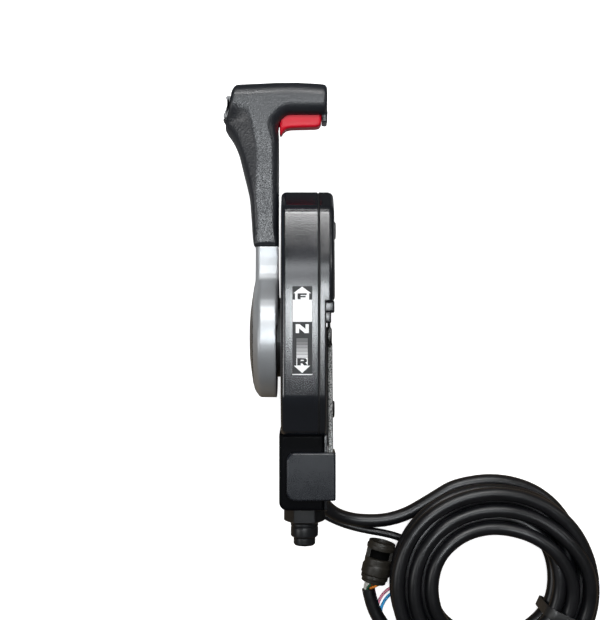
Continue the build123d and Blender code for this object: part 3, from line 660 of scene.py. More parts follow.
def brick(X, U, W, x0, x1, u0, u1, w0, w1, r=0.4):
    qx, qu, qw = np.abs(X - (x0 + x1) / 2) - (x1 - x0) / 2 + r, np.abs(U - (u0 + u1) / 2) - (u1 - u0) / 2 + r, np.abs(W - (w0 + w1) / 2) - (w1 - w0) / 2 + r
    out = np.sqrt(np.maximum(qx, 0) ** 2 + np.maximum(qu, 0) ** 2 + np.maximum(qw, 0) ** 2)
    return out + np.minimum(np.maximum(qx, np.maximum(qu, qw)), 0) - r


def nets(name, f, lo, hi, h, place=P, steps=4):
    """The zero surface of f as a quad mesh, its points pulled onto the surface."""
    ax = [np.arange(a, b + h, h) for a, b in zip(lo, hi)]
    X, Y, Z = np.meshgrid(*ax, indexing="ij")
    D = f(X, Y, Z)
    n = D.shape
    S = D < 0
    acc = np.zeros((n[0] - 1, n[1] - 1, n[2] - 1, 3))
    cnt = np.zeros((n[0] - 1, n[1] - 1, n[2] - 1))

    def sub(arr, o):
        return arr[o[0]:n[0] - 1 + o[0], o[1]:n[1] - 1 + o[1], o[2]:n[2] - 1 + o[2]]

    corners = [(i, j, k) for i in (0, 1) for j in (0, 1) for k in (0, 1)]
    for a in corners:
        for axis in range(3):
            if a[axis]:
                continue
            b = tuple(v + (1 if q == axis else 0) for q, v in enumerate(a))
            Da, Db = sub(D, a), sub(D, b)
            m = (Da < 0) != (Db < 0)
            t = np.where(m, Da / np.where(m, Da - Db, 1), 0)
            for q in range(3):
                acc[..., q] += m * (a[q] + (t if q == axis else 0))
            cnt += m
    act = cnt > 0
    idx = np.full(act.shape, -1)
    idx[act] = np.arange(act.sum())
    cells = np.argwhere(act)
    V = (cells + acc[act] / cnt[act][:, None]) * h + np.array(lo)
    faces = []
    for axis in range(3):
        o1 = [0, 0, 0]
        o1[axis] = 1
        A = S[tuple(slice(0, n[q] - o1[q]) for q in range(3))]
        B = S[tuple(slice(o1[q], n[q]) for q in range(3))]
        e = np.argwhere(A != B)
        u, v = [q for q in range(3) if q != axis]
        ok = (e[:, u] > 0) & (e[:, v] > 0) & (e[:, u] < n[u] - 1) & (e[:, v] < n[v] - 1)
        e = e[ok]
        flip = A[tuple(e.T)]
        if axis == 1:
            flip = ~flip
        du, dv = np.zeros(3, int), np.zeros(3, int)
        du[u], dv[v] = 1, 1
        q0, q1, q2, q3 = (idx[tuple((e - a).T)] for a in (du + dv, dv, 0 * du, du))
        quad = np.stack([q0, q1, q2, q3], 1)
        quad[~flip] = quad[~flip][:, ::-1]
        faces.append(quad)
    F = np.concatenate(faces)
    eps = h * 0.05
    for _ in range(steps):
        d = f(V[:, 0], V[:, 1], V[:, 2])
        g = np.stack([(f(*(V + eps * np.eye(3)[q]).T) - f(*(V - eps * np.eye(3)[q]).T)) / (2 * eps) for q in range(3)], 1)
        move = -d[:, None] * g / np.maximum((g * g).sum(1, keepdims=True), 0.2)
        size = np.linalg.norm(move, axis=1, keepdims=True)
        V = V + move * np.minimum(1, 0.6 * h / np.maximum(size, 1e-9))
    me = bpy.data.meshes.new(name)
    W = np.array([place(*v) for v in V])
    me.from_pydata(W.tolist(), [], F.tolist())
    me.validate()
    return me

# ---------------------------------------------------------------------------
# Box shells
# ---------------------------------------------------------------------------
SHAPE = [(-81, -72), (44, -72), (112.6, -46), (128.0, -6), (124.8, 25), (109.6, 51.5), (58, 66), (-50, 66), (-81, 50)]
SHAPE_R = [8, 40, 26, 30, 16, 14, 150, 22, 12]
MOUNTS = [(92.0, 22.0), (92.0, -22.0), (-64.0, -8.0), (-64.0, -58.0)]
SCREWS = [(101, 43), (114, 7), (50, 53), (-4, 54), (-62, 50), (-30, -62), (24, -62), (70, -50)]
WALL = 3.0


def across(u, w, x):
    return P(x, u, w)


def inner_block(name, pts, radii, x0, x1):
    """The space inside a shell: the outline less the wall, from x0 to x1."""
    o = Outline(pts, radii, 5)
    return rings(name, o, [(x0, WALL + 1.5), (x0, WALL + 0.6), (x0 + (0.6 if x1 > x0 else -0.6), WALL), (x1, WALL)], across)


def ring_pts(u, w, r, n=40):
    return [(u + r * math.cos(2 * math.pi * i / n), w + r * math.sin(2 * math.pi * i / n)) for i in range(n)]


shell = rings("shell", Outline(SHAPE, SHAPE_R, 4), arc_profile(-16.0, 15.1, 4.4, 0.7, 6), across)
shell = joined(shell, [inner_block("c", SHAPE, SHAPE_R, -13.0, 20.0)], "DIFFERENCE")
shell = joined(shell, [rings("b", ring_pts(u, w, 7.2), [(-14.0, 0.5), (-14.0, 0.0), (14.6, 0.0), (14.9, 0.4)], across) for u, w in MOUNTS], "UNION")
cuts = [rod("c", (-30, u, w), (40, u, w), 3.3) for u, w in MOUNTS]
cuts += [rod("c", (-20, u, w), (-12.0, u, w), 5.6) for u, w in MOUNTS]
cuts.append(rod("c", (-30, 0, 0), (-5, 0, 0), 10.1))
cuts.append(rod("c", (11.0, 124.5, -12.0), (11.0, 135, -12.0), 5.0))
cuts.append(block("c", -7.2, 5.2, -90, -70, -49, -24.5))
shell = joined(shell, cuts, "DIFFERENCE")
shell = finish_mesh("box_shell", shell, "shell", "root", "housing", 30)

# outboard shell: flat aft part, raised forward part, mounting bosses
full = rings("back", Outline(SHAPE, SHAPE_R, 4), arc_profile(21.5, 16.1, 1.3, 0.7, 5), across)
e = 0.03
front = [(30.0, -72 + e), (44, -72 + e), (112.6 - e, -46 + e), (128.0 - e, -6), (124.8 - e, 25), (109.6 - e, 51.5 - e), (58, 66 - e), (30.0, 66 - e)]
front_r = [3, 40, 26, 30, 16, 14, 150, 2.5]
raised = rings("raised", Outline(front, front_r, 4), arc_profile(28.7, 17.0, 5.2, 0.2, 6), across)
lug = rings("lug", Outline([(21.6, 38), (31.8, 38), (31.8, 61), (21.6, 61)], 2.0, 15), arc_profile(28.4, 20.0, 1.2, 0.2, 3), across)
stop = rings("stop", Outline([(13.2, 38.6), (22.6, 38.6), (22.6, 60.4), (13.2, 60.4)], 1.5, 15), arc_profile(25.7, 20.0, 1.0, 0.2, 3), across)
back = joined(full, [raised], "UNION")
back = joined(back, [lug], "UNION")
back = joined(back, [stop], "UNION")
back = joined(back, [inner_block("c", SHAPE, SHAPE_R, 18.5, 10.0)], "DIFFERENCE")
front_in = [(33.0, -72), (44, -72), (112.6, -46), (128.0, -6), (124.8, 25), (109.6, 51.5), (58, 66), (33.0, 66)]
back = joined(back, [inner_block("c", front_in, front_r, 25.4, 10.0)], "DIFFERENCE")
back = joined(back, [rings("b", ring_pts(u, w, 7.5), [(30.6, 1.2), (30.6, 0.6), (30.4, 0.2), (30.0, 0.0), (16.8, 0.0), (16.5, 0.4)], across) for u, w in MOUNTS], "UNION")
cuts = [rod("c", (10, u, w), (40, u, w), 3.3) for u, w in MOUNTS]
for u, w in SCREWS:
    top = 28.7 if u > 30 else 21.5
    cuts.append(rod("c", (top - 2.9, u, w), (top + 8, u, w), 4.9))
back = joined(back, cuts, "DIFFERENCE")
back = finish_mesh("back_shell", back, "cover", "root", "back_cover", 30)
seal = rings("seal", Outline(SHAPE, SHAPE_R, 4), [(15.12, 0.8), (16.08, 0.8)], across)
seal = joined(seal, [rings("c", Outline(SHAPE, SHAPE_R, 4), [(14.0, 3.2), (17.0, 3.2)], across)], "DIFFERENCE")
finish_mesh("case_seal_ring", seal, "seal", "root", "case_seal", 30)

# screw heads: pan heads with a cross recess
for k, (u, w) in enumerate(SCREWS):
    top = 28.7 if u > 30 else 21.5
    prof = soft_profile([(top - 3.0, 2.4), (top - 3.0, 4.55), (top - 1.9, 4.55), (top - 0.8, 3.2), (top - 0.6, 0.0)], 0.7)
    head = lathe("head", [(top - 3.4, 0.0), (top - 3.4, 2.4)] + prof[1:], lambda a, r, s, u=u, w=w: P(a, u + r, w + s), 36)
    q = 0.5 + 0.7 * k
    slots = []
    for turn in (0, math.pi / 2):
        m = block("slot", top - 2.0, top + 1, -2.6, 2.6, -0.45, 0.45)
        c = P(0, 0, 0)
        for v in m.vertices:
            dy, dz = v.co.y - c.y, v.co.z - c.z
            cs, sn = math.cos(q + turn), math.sin(q + turn)
            v.co.y = c.y + dy * cs - dz * sn + u / 1000
            v.co.z = c.z + dy * sn + dz * cs + w / 1000
        slots.append(m)
    head = joined(head, slots, "DIFFERENCE")
    head = finish_mesh("case_screw_%d" % (k + 1), head, "screw", "root", "case_screws", 35)

# ---------------------------------------------------------------------------
# Strip with the gear marks, on the flat of the top edge
# ---------------------------------------------------------------------------
def flat_marks(name, polys, w0, w1, key):
    verts, faces = [], []
    for poly in polys:
        b, m = len(verts), len(poly)
        verts += [P(x, u, w0) for x, u in poly] + [P(x, u, w1) for x, u in poly]
        faces += [tuple(b + i for i in range(m))[::-1], tuple(b + m + i for i in range(m))]
        faces += [(b + i, b + (i + 1) % m, b + m + (i + 1) % m, b + m + i) for i in range(m)]
    me = from_arrays(name, verts, faces)
    return finish_mesh(name, me, key, "root", "gear_decal", 30)


def bar(x0, x1, u0, u1):
    return [(x0, u0), (x1, u0), (x1, u1), (x0, u1)]


flat_marks("gear_strip", [rounded(bar(-6.2, 10.0, -29.0, 43.5), 0.8)], 66.0, 66.12, "strip_dark")
XC = 1.75
white = [bar(-6.0, 9.8, 14.4, 32.4),
         [(-4.0, 32.2), (7.4, 32.2), (7.4, 37.7), (9.0, 37.7), (XC, 43.1), (-5.4, 37.7), (-4.0, 37.7)],
         bar(-6.2, 10.0, -28.9, -28.2),
         [(-2.9, -15.2), (-2.9, -21.4), (-5.0, -21.4), (XC, -27.3), (8.3, -21.4), (6.3, -21.4), (6.3, -15.2)]]
# N
white += [[(-3.5, 5.2), (-0.8, 5.2), (-0.8, 9.1), (3.9, 5.2), (7.2, 5.2), (7.2, 12.4), (4.5, 12.4), (4.5, 8.5), (-0.2, 12.4), (-3.5, 12.4)]]
flat_marks("gear_marks_white", white, 66.12, 66.22, "strip_white")
dark = [[(-2.0, 32.8), (0.5, 32.8), (0.5, 34.3), (4.6, 34.3), (4.6, 35.5), (0.5, 35.5), (0.5, 36.2), (5.4, 36.2), (5.4, 37.6), (-2.0, 37.6)]]
# R, in two strokes: the stem with its leg, and the bowl
dark += [[(-2.3, -21.2), (0.6, -21.2), (0.6, -19.5), (1.9, -19.5), (3.3, -21.2), (6.4, -21.2), (4.4, -18.9), (0.6, -18.3), (0.6, -15.3), (-2.3, -15.3)],
         [(0.62, -18.25), (4.42, -18.85), (5.4, -18.3), (5.8, -17.4), (5.4, -16.1), (4.4, -15.4), (0.62, -15.3), (0.62, -16.6), (2.9, -16.6), (3.2, -17.1), (2.9, -17.5), (0.62, -17.5)]]
flat_marks("gear_marks_black", dark, 66.22, 66.3, "strip_dark")
# ladder of bars between neutral and reverse, lighter towards reverse
for k in range(6):
    g = (0.10, 0.15, 0.24, 0.34, 0.45, 0.58)[k]
    u1 = 1.0 - 2.7 * k
    key = "strip_grey_%d" % k
    M[key] = plastic(key, (g, g, g * 1.01), 0.42, grain=0.7, depth=0.00002, vary=0.1, lift=1.05)
    flat_marks("gear_ladder_%d" % (k + 1), [bar(-2.9, 6.3, u1 - 2.5, u1)], 66.12, 66.2, key)

# ---------------------------------------------------------------------------
# Aft switch block and the neutral throttle lever over it
# ---------------------------------------------------------------------------
def from_above(x, u, w):
    return P(x, u, w)


plan = Outline([(-17.7, -146.0), (20.5, -146.0), (20.5, -81.0), (-17.7, -81.0)], [7.0, 1.2, 0.6, 1.0], 6)
blk = rings("block", plan, arc_profile(36.0, -22.0, 2.6, 2.0, 5), from_above)
blk = joined(blk, [rod("c", (3.9, -150, 8), (3.9, -140, 8), 9.3), rod("c", (6, -129, -30), (6, -129, -18), 9.0), rod("c", (-8, -137, -30), (-8, -137, -18), 5.6)], "DIFFERENCE")
# the block's near-black, sheenless finish is painted shade
finish_mesh("switch_block", blk, "block", "root", "switch_housing", 30)
cov = rings("blockcover", Outline([(-146.0, -22.0), (-81.2, -22.0), (-81.2, 36.0), (-146.0, 36.0)], [2.5, 2.5, 2.5, 2.5], 12), arc_profile(23.5, 20.7, 1.0, 0.2, 4), across)
finish_mesh("switch_block_cover", cov, "cover", "root", "switch_cover", 30)

plan = Outline([(-11.4, -136.3), (30.0, -136.3), (30.0, -95.8), (-11.4, -95.8)], [7.5, 3.0, 2.4, 7.5], 6)
top = rings("handle", plan, [(43.0, 1.4), (42.55, 0.5), (42.15, 0.12), (41.7, 0.0), (39.9, 0.0), (39.62, 0.12), (39.5, 0.4)], from_above)
skirt = rings("skirt", Outline([(-136.27, 12.0), (-95.83, 12.0), (-95.83, 42.0), (-136.27, 42.0)], [5, 5, 1.2, 1.2], 10), arc_profile(29.97, 27.5, 0.9, 0.3, 4), across)
lip = block("lip", -8.4, 27.8, -99.4, -96.8, 37.6, 40.2)
hand = joined(top, [skirt, lip], "UNION")
finish_mesh("neutral_handle", hand, "plate", "neutral_throttle", "neutral_throttle_handle", 20)

# ---------------------------------------------------------------------------
# Lever: hub and neck in one casting
# ---------------------------------------------------------------------------
HUB = [(-20.1, 8.0), (-20.1, 52.0), (-20.6, 52.6), (-33.4, 52.6), (-35.4, 51.6), (-37.9, 48.4), (-39.6, 45.0), (-39.8, 43.9), (-36.0, 43.9), (-36.0, 12.0), (-29.0, 12.0), (-29.0, 8.0)]
half = [(12.0, 44.4), (26.0, 43.6), (32.0, 39.8), (37.5, 33.6), (43.0, 26.4), (49.0, 20.6), (56.0, 16.6), (63.0, 14.5), (70.0, 13.5), (82.0, 13.0)]
FLARE = half + [(u, -w) for u, w in reversed(half)]


def lever_f(X, U, W):
    R = np.hypot(U, W)
    hub = poly_dist(HUB, X, R)
    side = poly_dist(FLARE, U, W)
    neck = both(side, X + 18.9, 0.8)
    cham = (side - X - 38.6 + 2.6) / 1.41421      # long bevels along the inboard edges
    neck = both(neck, -38.6 - X, 1.0)
    neck = both(neck, cham, 0.8)
    neck = both(neck, U - 79.2, 0.5)
    neck = np.maximum(neck, 37.5 - R)
    body = either(hub, neck, 3.2)
    body = np.maximum(body, -brick(X, U, W, -22.8, -17.0, 35.0, 82.0, -3.2, 3.2, 0.2))
    return body


lever = nets("lever", lever_f, (-42.5, -54.5, -54.5), (-17.5, 81.0, 54.5), 1.15)
lever = finish_mesh("lever_casting", lever, "silver", "lever", "lever_arm", 40)

prof = soft_profile([(-36.4, 43.6), (-39.6, 43.5), (-40.5, 41.6), (-41.2, 37.0), (-42.0, 32.0), (-42.8, 26.0), (-43.4, 20.0), (-43.9, 10.0), (-44.0, 0.0)], 1.5, 8)
cap = lathe("cap", [(-36.4, 0.0)] + prof, lambda a, r, s: P(a, r, s), 120)
finish_mesh("hub_dome", cap, "cap", "lever", "hub_cap", 45)
dress("neutral_lock_plate", "disc")

# ---------------------------------------------------------------------------
# Grip
# ---------------------------------------------------------------------------
GRIP = rounded([(-40.2, 79.3), (-41.3, 88), (-42.2, 101), (-43.2, 115), (-44.1, 122.6), (-46.6, 133), (-49.3, 143.7), (-52.8, 157.8), (-55.4, 164.8), (-58.2, 170.5), (-61.0, 174.6), (-64.4, 178.6), (-65.3, 182.0),
                (-65.3, 188.0), (-62.5, 196.5), (-60.7, 206.0), (-59.4, 214.0), (-57.4, 220.2), (-52.0, 221.2), (-20, 222.7), (-2, 222.8), (15, 221.9), (23.6, 220.2),
                (23.8, 192.8), (-11.0, 192.8), (-18.5, 185.4), (-18.5, 79.3)],
               [1.6, 20, 30, 40, 30, 40, 40, 30, 14, 10, 6, 5, 8, 6, 16, 20, 14, 3.6, 20, 60, 60, 30, 2.6, 1.6, 8.5, 8.5, 1.6], 6)


# the same outline with the bar run on past both ends, so that its long edges round like a bar's
GRIP_LONG = rounded([(-40.2, 79.3), (-41.3, 88), (-42.2, 101), (-43.2, 115), (-44.1, 122.6), (-46.6, 133), (-49.3, 143.7), (-52.8, 157.8), (-55.4, 164.8), (-58.2, 170.5), (-61.0, 174.6), (-64.4, 178.6),
                     (-95.0, 180.5), (-95.0, 219.6), (-52.0, 221.2), (-20, 222.7), (-2, 222.8), (15, 221.9), (60.0, 217.0),
                     (60.0, 192.8), (-11.0, 192.8), (-18.5, 185.4), (-18.5, 79.3)],
                    [1.6, 20, 30, 40, 30, 40, 40, 30, 14, 10, 6, 3, 3, 3, 20, 60, 60, 30, 2, 2, 8.5, 8.5, 1.6], 6)


def ease(v, pts):
    """A smooth curve through (v, value) pairs, flat at each pair."""
    out = np.full(np.shape(v), float(pts[0][1]))
    for (a, p), (b, q) in zip(pts, pts[1:]):
        t = np.clip((v - a) / (b - a), 0, 1)
        out = out + (q - p) * t * t * (3 - 2 * t)
    return out


def grip_f(X, U, W):
    flat = poly_dist(GRIP_LONG, X, U)
    left = np.interp(U, [188.0, 196.5, 206.0, 214.0, 220.2], [-65.3, -62.5, -60.7, -59.4, -57.4])
    ends = np.maximum(X - 23.7, 0.971 * (left - X))
    wide = ease(U, [(70, 13.9), (190, 18.0)])
    # long edges: a soft shoulder on the arm, a rounder bar
    r = ease(U, [(80, 4.0), (100, 6.4), (165, 7.0), (192, 12.8)])
    # the inboard side falls away from a ridge that runs up the arm
    ridge = np.interp(U, [78, 100, 122.6, 138, 153.4, 165, 173.6, 186, 198, 226], [-41.6, -40.8, -39.6, -38.4, -37.8, -38.2, -39.6, -42.2, -44.9, -48.0])
    fall = ease(U, [(80, 0.05), (110, 0.30), (150, 0.42), (186, 0.42), (206, 0.03)])
    lean = fall * np.logaddexp(0, (ridge - X) / 0.9) * 0.9
    body = both(flat, (np.abs(W) - wide + lean) * 0.93, r)
    body = both(body, ends, 3.2)
    lip = brick(X, U, W, 19.1, 23.75, 187.2, 197.0, -11.0, 11.0, 1.3)
    body = either(body, lip, 1.6)
    # pockets of the trigger, the lock rod and the rocker
    body = np.maximum(body, -brick(X, U, W, -18.6, 19.2, 191.0, 205.5, -9.3, 9.3, 0.6))
    body = np.maximum(body, -brick(X, U, W, -19.0, -8.0, 176.0, 205.5, -9.3, 9.3, 0.6))
    body = np.maximum(body, -brick(X, U, W, -23.1, -15.0, 186.0, 205.5, -9.3, 9.3, 0.6))
    body = np.maximum(body, -brick(X, U, W, -80.0, -58.8, 190.2, 212.8, -7.7, 7.7, 0.6))
    return body


grip = nets("grip", grip_f, (-67.5, 77.5, -19.5), (25.5, 224.5, 19.5), 1.05)
grip = finish_mesh("hand_grip", grip, "grip", "lever", "grip", 40)

# rocker in its bezel on the grip's end face
RK = Outline([(-61.2, 192.4), (-66.4, 191.8), (-67.2, 194.0), (-65.4, 198.4), (-63.9, 203.0), (-63.9, 206.4), (-64.9, 210.2), (-63.2, 211.6), (-59.6, 210.8), (-59.6, 201.0)], [0.4, 0.9, 1.2, 8, 10, 8, 1.0, 0.8, 0.5, 2], 12)


def along_w(x, u, w):
    return P(x, u, w)


rk = rings("rocker", RK, arc_profile(6.1, -6.1, 1.1, 1.1, 4), along_w)
finish_mesh("trim_rocker_cap", rk, "rocker", "trim_rocker", "trim_rocker", 35)
bz_out = Outline([(189.8, -7.6), (212.6, -7.6), (212.6, 7.6), (189.8, 7.6)], 2.0, 12)


def bez_place(u, w, d):
    lean = (u - 201.5) * 0.155
    return P(-62.1 + lean + d, u, w)


bz = rings("bezel", bz_out, [(3.2, 1.6), (3.2, 0.2), (3.0, 0.0), (0.7, 0.0), (0.2, 0.2), (0.0, 0.5), (0.0, 0.75), (0.1, 0.9), (2.2, 0.9), (2.2, 1.7)], bez_place)
nub = rings("nub", Outline([(-62.0, 187.2), (-65.6, 187.4), (-67.4, 190.2), (-66.4, 191.4), (-61.8, 191.6)], [0.5, 1.8, 0.9, 0.5, 0.5], 15), arc_profile(6.6, -6.6, 1.2, 1.2, 4), along_w)
verts, faces = [], []
for m in (bz, nub):
    start = len(verts)
    verts += [tuple(v.co) for v in m.vertices]
    faces += [tuple(start + i for i in p.vertices) for p in m.polygons]
bz = from_arrays("bezel", verts, faces)
finish_mesh("trim_bezel_frame", bz, "rocker_dark", "lever", "trim_bezel", 35)

# trigger: blade under the bar with a tail down the arm
TG = rounded([(-17.8, 197.6), (-17.8, 177.4), (-16.3, 176.9), (-14.6, 179.9), (-12.2, 181.9), (-8.6, 182.9), (13.6, 183.5), (17.0, 184.3), (18.7, 187.4), (18.7, 197.6)],
             [0.3, 0.5, 0.7, 3, 3, 6, 4, 3, 2.5, 0.3], 10)
TG_FLAT = TG


def trig_f(X, U, W):
    flat = poly_dist(TG_FLAT, X, U)
    side = np.abs(W) - np.interp(U, [176, 180, 184, 188, 198], [6.2, 7.4, 8.4, 8.8, 8.8])
    return both(flat, side, 2.2)


trig = nets("trigger", trig_f, (-19.5, 175.0, -10.5), (20.5, 199.5, 10.5), 0.7)
trig = finish_mesh("trigger_blade", trig, "red", "trigger", "trigger", 45)

# ---------------------------------------------------------------------------
# Key switch
# ---------------------------------------------------------------------------
KX, KW = 3.9, 8.0


def on_key(a, r, s):
    return P(KX + r, a, KW + s)


hexa = [(15.7 / math.cos(math.pi / 6) * math.cos(math.radians(60 * i)), 15.7 / math.cos(math.pi / 6) * math.sin(math.radians(60 * i))) for i in range(6)]
nut = rings("nut", Outline(hexa, 1.6, 20), [(-160.0, 5.0), (-160.0, 1.6), (-159.2, 0.5), (-158.4, 0.0), (-147.0, 0.0), (-146.0, 0.8), (-146.0, 5.0)], lambda a, b, d: P(KX + a, d, KW + b))
nut = joined(nut, [rod("c", (KX, -170, KW), (KX, -140, KW), 8.95)], "DIFFERENCE")
finish_mesh("key_nut", nut, "key", "root", "key_switch_nut", 30)
prof = soft_profile([(-160.1, 7.05), (-160.1, 11.0), (-161.2, 11.95), (-163.4, 11.95), (-163.8, 11.3), (-164.5, 11.3), (-164.9, 11.95), (-171.9, 11.95), (-173.1, 10.9), (-173.1, 7.05)], 0.5, 20)
ring = lathe("ring", prof + [prof[0]], on_key, 84)
finish_mesh("key_bezel_ring", ring, "key", "root", "key_switch_ring", 40)
prof = soft_profile([(-150.0, 6.9), (-173.3, 6.9), (-173.4, 9.0), (-174.1, 9.5), (-179.0, 9.5), (-180.4, 8.4), (-180.5, 0.0)], 0.5, 15)
cyl = lathe("cyl", [(-150.0, 0.0)] + prof, on_key, 72)
cyl = joined(cyl, [block("c", KX - 1.2, KX + 1.2, -184, -165, KW - 4.2, KW + 4.2)], "DIFFERENCE")
finish_mesh("key_barrel", cyl, "key", "key", "key_cylinder", 40)
dress("key_switch_body", "zinc")

# ---------------------------------------------------------------------------
# Boots where the cords leave the block
# ---------------------------------------------------------------------------
def boot_mesh(name, x, u, r0, rc, top, foot, ribs):
    prof = [(top + 4.3, rc), (top + 4.3, r0 + 2.2), (top + 2.9, r0 + 2.4), (top + 2.7, r0 - 0.3), (top, r0 - 0.3), (top - 0.2, r0 + 1.4), (top - 2.6, r0 + 1.4)]
    z = top - 2.9
    step_z = (z - foot) / ribs
    for k in range(ribs):
        r = r0 + 0.3 - (r0 - rc - 0.5) * k / ribs * 0.7
        prof += [(z, r - 0.8), (z - step_z * 0.35, r - 0.8), (z - step_z * 0.45, r), (z - step_z * 0.9, r - 0.15)]
        z -= step_z
    prof += [(foot, rc + 0.5), (foot, rc)]
    prof = soft_profile(prof, 0.35, 25)
    return lathe(name, prof + [prof[0]], lambda a, r, s: P(x + r, u + s, a), 48)


finish_mesh("harness_grommet", boot_mesh("boot", 6.0, -129.0, 8.2, 6.25, -22.0, -33.5, 4), "boot", "root", "harness_boot", 50)
finish_mesh("lead_grommet", boot_mesh("boot", -8.0, -137.0, 4.9, 3.5, -22.0, -31.0, 3), "boot", "root", "lead_boot", 50)

# ---------------------------------------------------------------------------
# Connector: moulded housing with ribs and a latch window, collar and wires
# ---------------------------------------------------------------------------
CC = T(72.9, -236.2, 13.7)
CD = Vector((math.sin(math.radians(13)), math.cos(math.radians(13)), 0))
CS = Vector((CD.y, -CD.x, 0))
ROLL = math.radians(0)


def on_con(a, r, s):
    return CC + (CD * a + CS * r + Vector((0, 0, 1)) * s) / 1000


prof = soft_profile([(-12.0, 8.0), (-12.0, 12.2), (-10.8, 13.55), (-3.2, 13.55), (-2.2, 12.9), (-1.4, 12.6), (3.2, 12.9), (3.9, 12.6), (4.3, 9.2), (12.4, 9.2), (12.7, 13.3), (16.2, 13.5),
                     (16.9, 12.7), (19.4, 12.6), (19.7, 12.1), (19.7, 11.0), (13.5, 11.0), (13.5, 8.4), (17.0, 8.3), (17.2, 0.0)], 0.45, 25)
con = lathe("con", [(-12.0, 0.0)] + prof, on_con, 72)


def con_block(a0, a1, r0, r1, s0, s1, turn=0.0):
    c, s = math.cos(turn), math.sin(turn)
    pts = [(a, r * c - q * s, r * s + q * c) for a in (a0, a1) for r in (r0, r1) for q in (s0, s1)]
    return from_arrays("c", [on_con(*p) for p in pts], [(0, 1, 3, 2), (4, 6, 7, 5), (0, 4, 5, 1), (2, 3, 7, 6), (0, 2, 6, 4), (1, 5, 7, 3)])


rails = [con_block(3.4, 13.2, -12.3, -9.0, -3.4, 3.4), con_block(3.4, 13.2, 9.0, 12.3, -3.4, 3.4), con_block(3.4, 13.2, -3.0, 3.0, -12.2, -8.0)]
# a near-black barrel in the window behind the ring, with almost no sheen: painted shade for the recess
barrel = lathe("barrel", [(4.34, 0.0), (4.34, 9.6), (12.36, 9.6), (12.36, 0.0)], on_con, 48)
ribs = [con_block(-10.4, -3.6, -0.55, 0.55, 12.9, 13.62, math.radians(15 + 30 * k)) for k in range(12) if k not in (5, 6)]
con = finish_mesh("connector_housing", con, "connector", "root", "connector_body", 35)
verts, faces = [], []
for m in ribs + rails:
    b = len(verts)
    verts += [tuple(v.co) for v in m.vertices]
    faces += [tuple(b + i for i in p.vertices) for p in m.polygons]
rib = finish_mesh("connector_ribs", from_arrays("ribs", verts, faces), "connector", "root", (), 35)
window_shade_barrel = finish_mesh("connector_window_shade", barrel, "gap", "root", (), 35)
prof = soft_profile([(-12.0, 8.8), (-12.0, 12.7), (-15.2, 12.7), (-15.7, 11.5), (-18.4, 11.5), (-19.0, 10.9), (-19.0, 8.8), (-17.6, 8.4), (-17.6, 0.0)], 0.4, 25)
col = lathe("collar", prof, on_con, 60)
col = finish_mesh("connector_collar_ring", col, "connector", "root", "connector_collar", 40)
END = T(64.4, -262.5, 6.3)
for k, (a, b, key) in enumerate([(-3.6, -1.9, "w_white"), (-1.4, 2.2, "w_green"), (0.4, -1.2, "w_red"), (2.0, 2.4, "w_orange"), (3.6, -1.4, "w_yellow"), (-2.9, 1.2, "w_white"), (1.4, 0.2, "w_green")]):
    p0 = END + Vector((a * 0.9, -4.0, b)) / 1000
    p3 = CC - CD * 0.0168 + (CS * a * 1.75 + Vector((0, 0, 1)) * b * 1.5) / 1000
    p1 = p0 + Vector((0.0, 0.005, 0.0003))
    p2 = p3 - CD * 0.0045
    spline("connector_wire_%d" % (k + 1), [p0, p1, p1.lerp(p2, 0.5), p2, p3], 0.0023, key, res=6)
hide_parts("connector_wires")

# ---------------------------------------------------------------------------
# CAD nodes that keep their shape and take a finish, and small parts rebuilt as meshes
# ---------------------------------------------------------------------------
PIVOT = [(13.0 * math.cos(2 * math.pi * k / 48), 13.0 * math.sin(2 * math.pi * k / 48)) for k in range(48)]
ARM = Outline([(-2.0, -7.6), (-6.0, 9.2), (-80.0, 27.0), (-80.0, 28.0), (-108.0, 33.0), (-128.0, 33.0), (-128.0, 18.0), (-108.0, 16.0), (-84.0, 12.6)], [1, 3, 1, 1, 6, 2, 2, 6, 6], 12)
plate = rings("arm", ARM, arc_profile(28.3, 24.2, 0.5, 0.3, 3), across)
plate = joined(plate, [rings("disc", PIVOT, arc_profile(26.7, 24.22, 0.4, 0.2, 3), across)], "UNION")
plate = joined(plate, [rod("c", (20, 0, 0), (32, 0, 0), 6.8), rod("c", (20, -104, 25), (32, -104, 25), 2.05), rod("c", (20, -122, 25), (32, -122, 25), 2.05)], "DIFFERENCE")
finish_mesh("neutral_arm_plate", plate, "zinc", "neutral_throttle", "neutral_throttle_arm", 35)
LINER = Outline([(9.0, -7.0), (9.0, 8.6), (-6.0, 8.4), (-80.0, 26.2), (-92.0, 29.0), (-92.0, 14.0), (-84.0, 13.4)], [5, 5, 2, 2, 1, 1, 2], 12)
liner = joined(rings("liner", LINER, arc_profile(24.14, 21.95, 0.3, 0.3, 2), across), [rod("c", (20, 0, 0), (32, 0, 0), 6.8)], "DIFFERENCE")
finish_mesh("neutral_arm_liner", liner, "seal", "neutral_throttle", (), 35)
dress("neutral_throttle_rivets", "screw")
prof = soft_profile([(20.4, 2.0), (24.0, 2.0), (26.78, 2.1), (26.82, 8.6), (27.4, 8.6), (27.9, 7.4), (28.1, 0.0)], 0.4)
head = lathe("pivot", [(20.4, 0.0)] + prof, lambda a, q, s: P(a, q, s), 48)
# the pivot head takes the block's near-black finish, painted shade
finish_mesh("neutral_pivot_head", joined(head, [block("slot", 27.5, 30, -5.0, 5.0, -0.6, 0.6)], "DIFFERENCE"), "block", "root", "neutral_pivot_screw", 35)
dress("cable_clamp", "cover")
dress("friction_screw", "screw")
for nm in ("main_shaft", "hub_washer", "hub_bolt", "trigger_pin", "lock_rod", "shift_cable_pin", "throttle_cable_pin", "throttle_roller", "shift_gear_post", "throttle_arm_post", "detent_plunger", "detent_wheel", "throttle_arm"):
    dress(nm, "steel")
for nm in ("inboard_bushing", "outboard_bushing", "friction_shoe"):
    dress(nm, "bronze")
for nm in ("drive_gear", "shift_gear", "throttle_cam"):
    dress(nm, "acetal")
dress("detent_bracket", "zinc")
